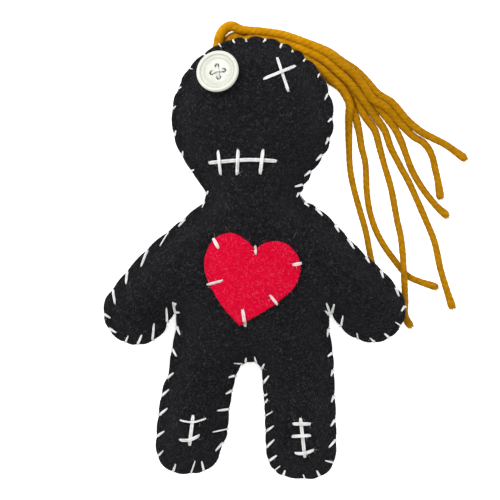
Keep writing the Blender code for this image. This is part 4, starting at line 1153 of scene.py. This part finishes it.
def spun_look(name, mottle_and_groove_shade, base, light, streak, sheen, painted_side_shade=None):
    """Twisted fibre: fine streaks that follow the plies, darker random clouding, and painted shade in the
    grooves between them.
    """
    look, tree, shader = new_look(name)
    fibre = add_node(tree, "ShaderNodeAttribute", attribute_name="fibre").outputs["Vector"]
    parts = add_node(tree, "ShaderNodeSeparateXYZ", {0: fibre})
    along = maths(tree, "MULTIPLY", parts.outputs[0], 0.55)
    round_x = maths(tree, "COSINE", parts.outputs[1])
    round_y = maths(tree, "SINE", parts.outputs[1])
    wrapped = add_node(tree, "ShaderNodeCombineXYZ", {0: along, 1: round_x, 2: round_y}).outputs[0]
    fine = noise_value(tree, wrapped, streak, 4.0, 0.65)
    place = object_place(tree)
    cloud = noise_value(tree, place, 420.0, 4.0)
    colour = mix(tree, ramp(tree, fine, (0.36, grey(0)), (0.66, grey(1))), base, light)
    # Darker cloudy patches at random, in the same colour as the painted groove shade.
    colour = mix(tree, ramp(tree, cloud, (0.42, grey(0)), (0.7, grey(0.6))), colour, mottle_and_groove_shade)
    # Painted shade: the colour darkens towards the grooves between the plies.
    colour = mix(tree, ramp(tree, parts.outputs[2], (0.35, grey(0)), (1.0, grey(0.6))), colour, mottle_and_groove_shade)
    # Painted shade: the colour is darkened across the object's x, from start to end, where less light falls.
    if painted_side_shade:
        start, end, depth = painted_side_shade
        across = add_node(tree, "ShaderNodeSeparateXYZ", {0: place}).outputs[0]
        share = add_node(tree, "ShaderNodeMapRange", {0: across, 1: start, 2: end}).outputs[0]
        colour = mix(tree, share, colour, grey(depth), "MULTIPLY")
    tree.links.new(colour, shader.inputs["Base Color"])
    add_bump(tree, shader, 0.6, 0.12 * MM, fine)
    set_inputs(shader, {"Roughness": 0.85, "Specular IOR Level": 0.04})
    set_inputs(shader, {"Sheen Weight": sheen, "Sheen Roughness": 0.5})
    return look


def ivory_look():
    """Moulded plastic with a soft gloss and a trace of clouding."""
    look, tree, shader = new_look("ivory_plastic")
    place = object_place(tree)
    cloud = noise_value(tree, place, 260.0, 4.0)
    fine = noise_value(tree, place, 1500.0, 3.0)
    colour = ramp(tree, cloud, (0.3, (0.46, 0.465, 0.405)), (0.7, (0.51, 0.515, 0.455)))
    tree.links.new(colour, shader.inputs["Base Color"])
    gloss = ramp(tree, fine, (0.3, grey(0.28)), (0.7, grey(0.4)))
    tree.links.new(gloss, shader.inputs["Roughness"])
    add_bump(tree, shader, 0.12, 0.05 * MM, fine)
    radius = (1.0 * MM, 0.9 * MM, 0.7 * MM)
    set_inputs(shader, {"Subsurface Weight": 0.08, "Subsurface Radius": radius})
    return look


def filling_look():
    """White polyester wadding."""
    look, tree, shader = new_look("filling")
    cloud = noise_value(tree, object_place(tree), 300.0, 8.0)
    tree.links.new(ramp(tree, cloud, (0.3, grey(0.6)), (0.7, grey(0.85))), shader.inputs["Base Color"])
    add_bump(tree, shader, 0.8, 1 * MM, cloud)
    set_inputs(shader, {"Roughness": 1.0})
    return look


def plain_look(name, colour, roughness):
    look, _, shader = new_look(name)
    set_inputs(shader, {"Base Color": (*colour, 1), "Roughness": roughness, "Specular IOR Level": 0.1})
    return look


# Studio


def add_camera():
    data = bpy.data.cameras.new("camera")
    data.sensor_width = SENSOR
    data.lens = SENSOR * (CAMERA_HEIGHT - SEAM_HEIGHT) / (PHOTO_WIDTH * PIXEL)
    camera = new_object("camera", data)
    camera.location = (*spot(PHOTO_WIDTH / 2, PHOTO_WIDTH / 2), CAMERA_HEIGHT)
    bpy.context.scene.camera = camera


def add_light(name, place, size, power):
    """A square soft box aimed at the doll's chest."""
    data = bpy.data.lights.new(name, "AREA")
    data.shape = "SQUARE"
    data.size = size
    data.energy = power
    light = new_object(name, data)
    light.location = place
    light.rotation_euler = (-Vector(place)).to_track_quat("-Z", "Y").to_euler()


def add_studio():
    scene = bpy.context.scene
    scene.view_settings.view_transform = "Standard"
    world = bpy.data.worlds.new("studio")
    world.use_nodes = True
    set_inputs(world.node_tree.nodes["Background"], {"Color": (1, 1, 1, 1), "Strength": SKY_LIGHT})
    scene.world = world
    add_light("key", place=(-0.45, 0.5, 0.75), size=0.5, power=7.0)
    add_light("fill", place=(0.6, -0.2, 0.7), size=0.7, power=2.5)
    bpy.ops.mesh.primitive_plane_add(size=4)
    floor = bpy.context.object
    floor.name = "floor"
    paper = plain_look("floor", grey(0.95), 0.9)
    glow = {"Emission Color": (1, 1, 1, 1), "Emission Strength": FLOOR_GLOW}
    set_inputs(paper.node_tree.nodes["Principled BSDF"], glow)
    floor.data.materials.append(paper)


def set_piece(obj, slot, *replaced):
    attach(obj, BODY)
    if replaced:
        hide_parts(*replaced)
    return obj


def main():
    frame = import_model()
    add_camera()
    add_studio()

    yarn_look = spun_look(
        "mustard_yarn",
        mottle_and_groove_shade=(0.31, 0.124, 0.0005),
        base=(0.445, 0.192, 0.0006),
        light=(0.57, 0.268, 0.0014),
        streak=2.2,
        sheen=0.02,
        # Painted shade: the yarn is darker towards +x, where less light falls.
        painted_side_shade=(18 * MM, 36 * MM, 0.7),
    )
    for number, (name, route) in enumerate(YARN_ROUTES.items()):
        set_piece(yarn_object(name, route, yarn_look, number + 1), "mustard_yarn", name)

    black_felt = felt_look(
        "black_felt",
        dark=(0.003, 0.0031, 0.004),
        base=(0.0054, 0.0054, 0.0062),
        light=(0.0115, 0.0115, 0.0124),
        speck=(0.04, 0.041, 0.045),
        sheen=0.05,
        sheen_colour=(0.5, 0.52, 0.58),
    )
    red_felt = felt_look(
        "red_felt",
        dark=(0.41, 0.0006, 0.016),
        base=(0.47, 0.0008, 0.02),
        light=(0.51, 0.0015, 0.026),
        speck=(0.6, 0.018, 0.055),
        sheen=0.0,
        sheen_colour=(1.0, 0.45, 0.5),
    )
    white_thread = spun_look(
        "white_thread",
        mottle_and_groove_shade=(0.42, 0.42, 0.41),
        base=(0.74, 0.74, 0.73),
        light=(0.86, 0.86, 0.85),
        streak=2.6,
        sheen=0.1,
    )
    pink_thread = spun_look(
        "heart_thread",
        mottle_and_groove_shade=(0.5, 0.28, 0.28),
        base=(0.74, 0.64, 0.63),
        light=(0.84, 0.78, 0.77),
        streak=2.6,
        sheen=0.1,
    )
    fibre_look = plain_look("felt_fibres", (0.042, 0.043, 0.047), 0.9)
    red_fibre_look = plain_look("heart_fibres", (0.85, 0.12, 0.16), 0.9)

    seam = Seam()
    points, faces = fine_pattern(seam.rim(), FRONT_GRID)
    points = np.column_stack([points, front_heights(points, seam)])
    front_piece = felt_object("front_felt", points, faces, FELT, False, black_felt)
    front = Surface(points, faces)
    set_piece(front_piece, "black_felt", "front_panel")

    points, faces = fine_pattern(seam.rim(), BACK_GRID)
    points = np.column_stack([points, back_heights(points, seam)])
    faces = [face[::-1] for face in faces]
    back_piece = felt_object("back_felt", points, faces, FELT, False, black_felt)
    back = Surface(points, faces)
    set_piece(back_piece, "black_felt", "back_panel")

    fuzz = felt_fuzz("front_fuzz", front_piece, 5000, fibre_look, seed=21, length=(0.5 * MM, 2.2 * MM))
    set_piece(fuzz, "black_felt")
    set_piece(edge_fuzz("edge_fuzz", seam, 2600, fibre_look, seed=23), "black_felt")

    line = edge_line(seam, front, back)
    edge_floss = floss("edge_floss", line, seam.holes, EDGE_THREAD, white_thread, seed=31, fuzz=0.25)
    set_piece(edge_floss, "white_thread", "edge_thread")

    rim = heart_outline(0.45 * MM)
    points, faces = fine_pattern(rim, HEART_GRID)
    heights = np.array([front.height(x, y, 0.5 * MM) for x, y in points]) + CONTACT
    heart_points = np.column_stack([points, heights])
    heart_piece = felt_object("heart_felt", heart_points, faces, HEART_FELT, True, red_felt)
    set_piece(heart_piece, "red_felt", "heart_patch")
    low, high = rim.min(axis=0), rim.max(axis=0)
    heart_tops = heart_points + np.array([0, 0, HEART_FELT])
    heart = Surface(heart_tops, faces, under=front)
    heart_skin = mesh_object("heart_skin", heart_tops, faces, red_felt)
    fuzz = felt_fuzz("heart_fuzz", heart_skin, 900, red_fibre_look, seed=25, length=(0.4 * MM, 1.4 * MM))
    set_piece(fuzz, "red_felt")
    bpy.data.objects.remove(heart_skin, do_unlink=True)

    motifs = (
        ("mouth_thread", MOUTH, MOUTH_THREAD, (1, 2, 3)),
        ("cross_eye_thread", CROSS_EYE, CROSS_THREAD, (1,)),
        ("left_scar_thread", LEFT_SCAR, SCAR_THREAD, (1, 2)),
        ("right_scar_thread", RIGHT_SCAR, SCAR_THREAD, (1, 2, 3)),
        ("heart_thread", HEART_STITCHES, HEART_THREAD, ()),
    )
    for number, (name, stitches, thread, uppers) in enumerate(motifs):
        on_heart = name == "heart_thread"
        surface = heart if on_heart else front
        look = pink_thread if on_heart else white_thread
        line = motif_line(stitches, surface, thread, crossings_over(stitches, 0, uppers, thread))
        holes = [end for stitch in stitches for end in (stitch[0], stitch[-1])]
        piece = floss(name.replace("thread", "floss"), line, holes, thread, look, seed=40 + number, fuzz=0.7)
        set_piece(piece, "white_thread", name)

    axes = button_frame(seam)
    low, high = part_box("button_eye")
    normal = axes @ Vector((0, 0, 1))
    seat = (low + high) / 2 - normal * BUTTON_THICKNESS / 2
    set_piece(button_object(axes, seat, ivory_look()), "ivory_plastic", "button_eye")
    line = button_line(axes, seat)
    button_floss = floss("button_floss", line, [], BUTTON_THREAD, white_thread, seed=51)
    set_piece(button_floss, "white_thread", "button_thread")

    stuffing = frame["nodes"]["stuffing"]
    stuffing.data.materials.clear()
    stuffing.data.materials.append(filling_look())


main()
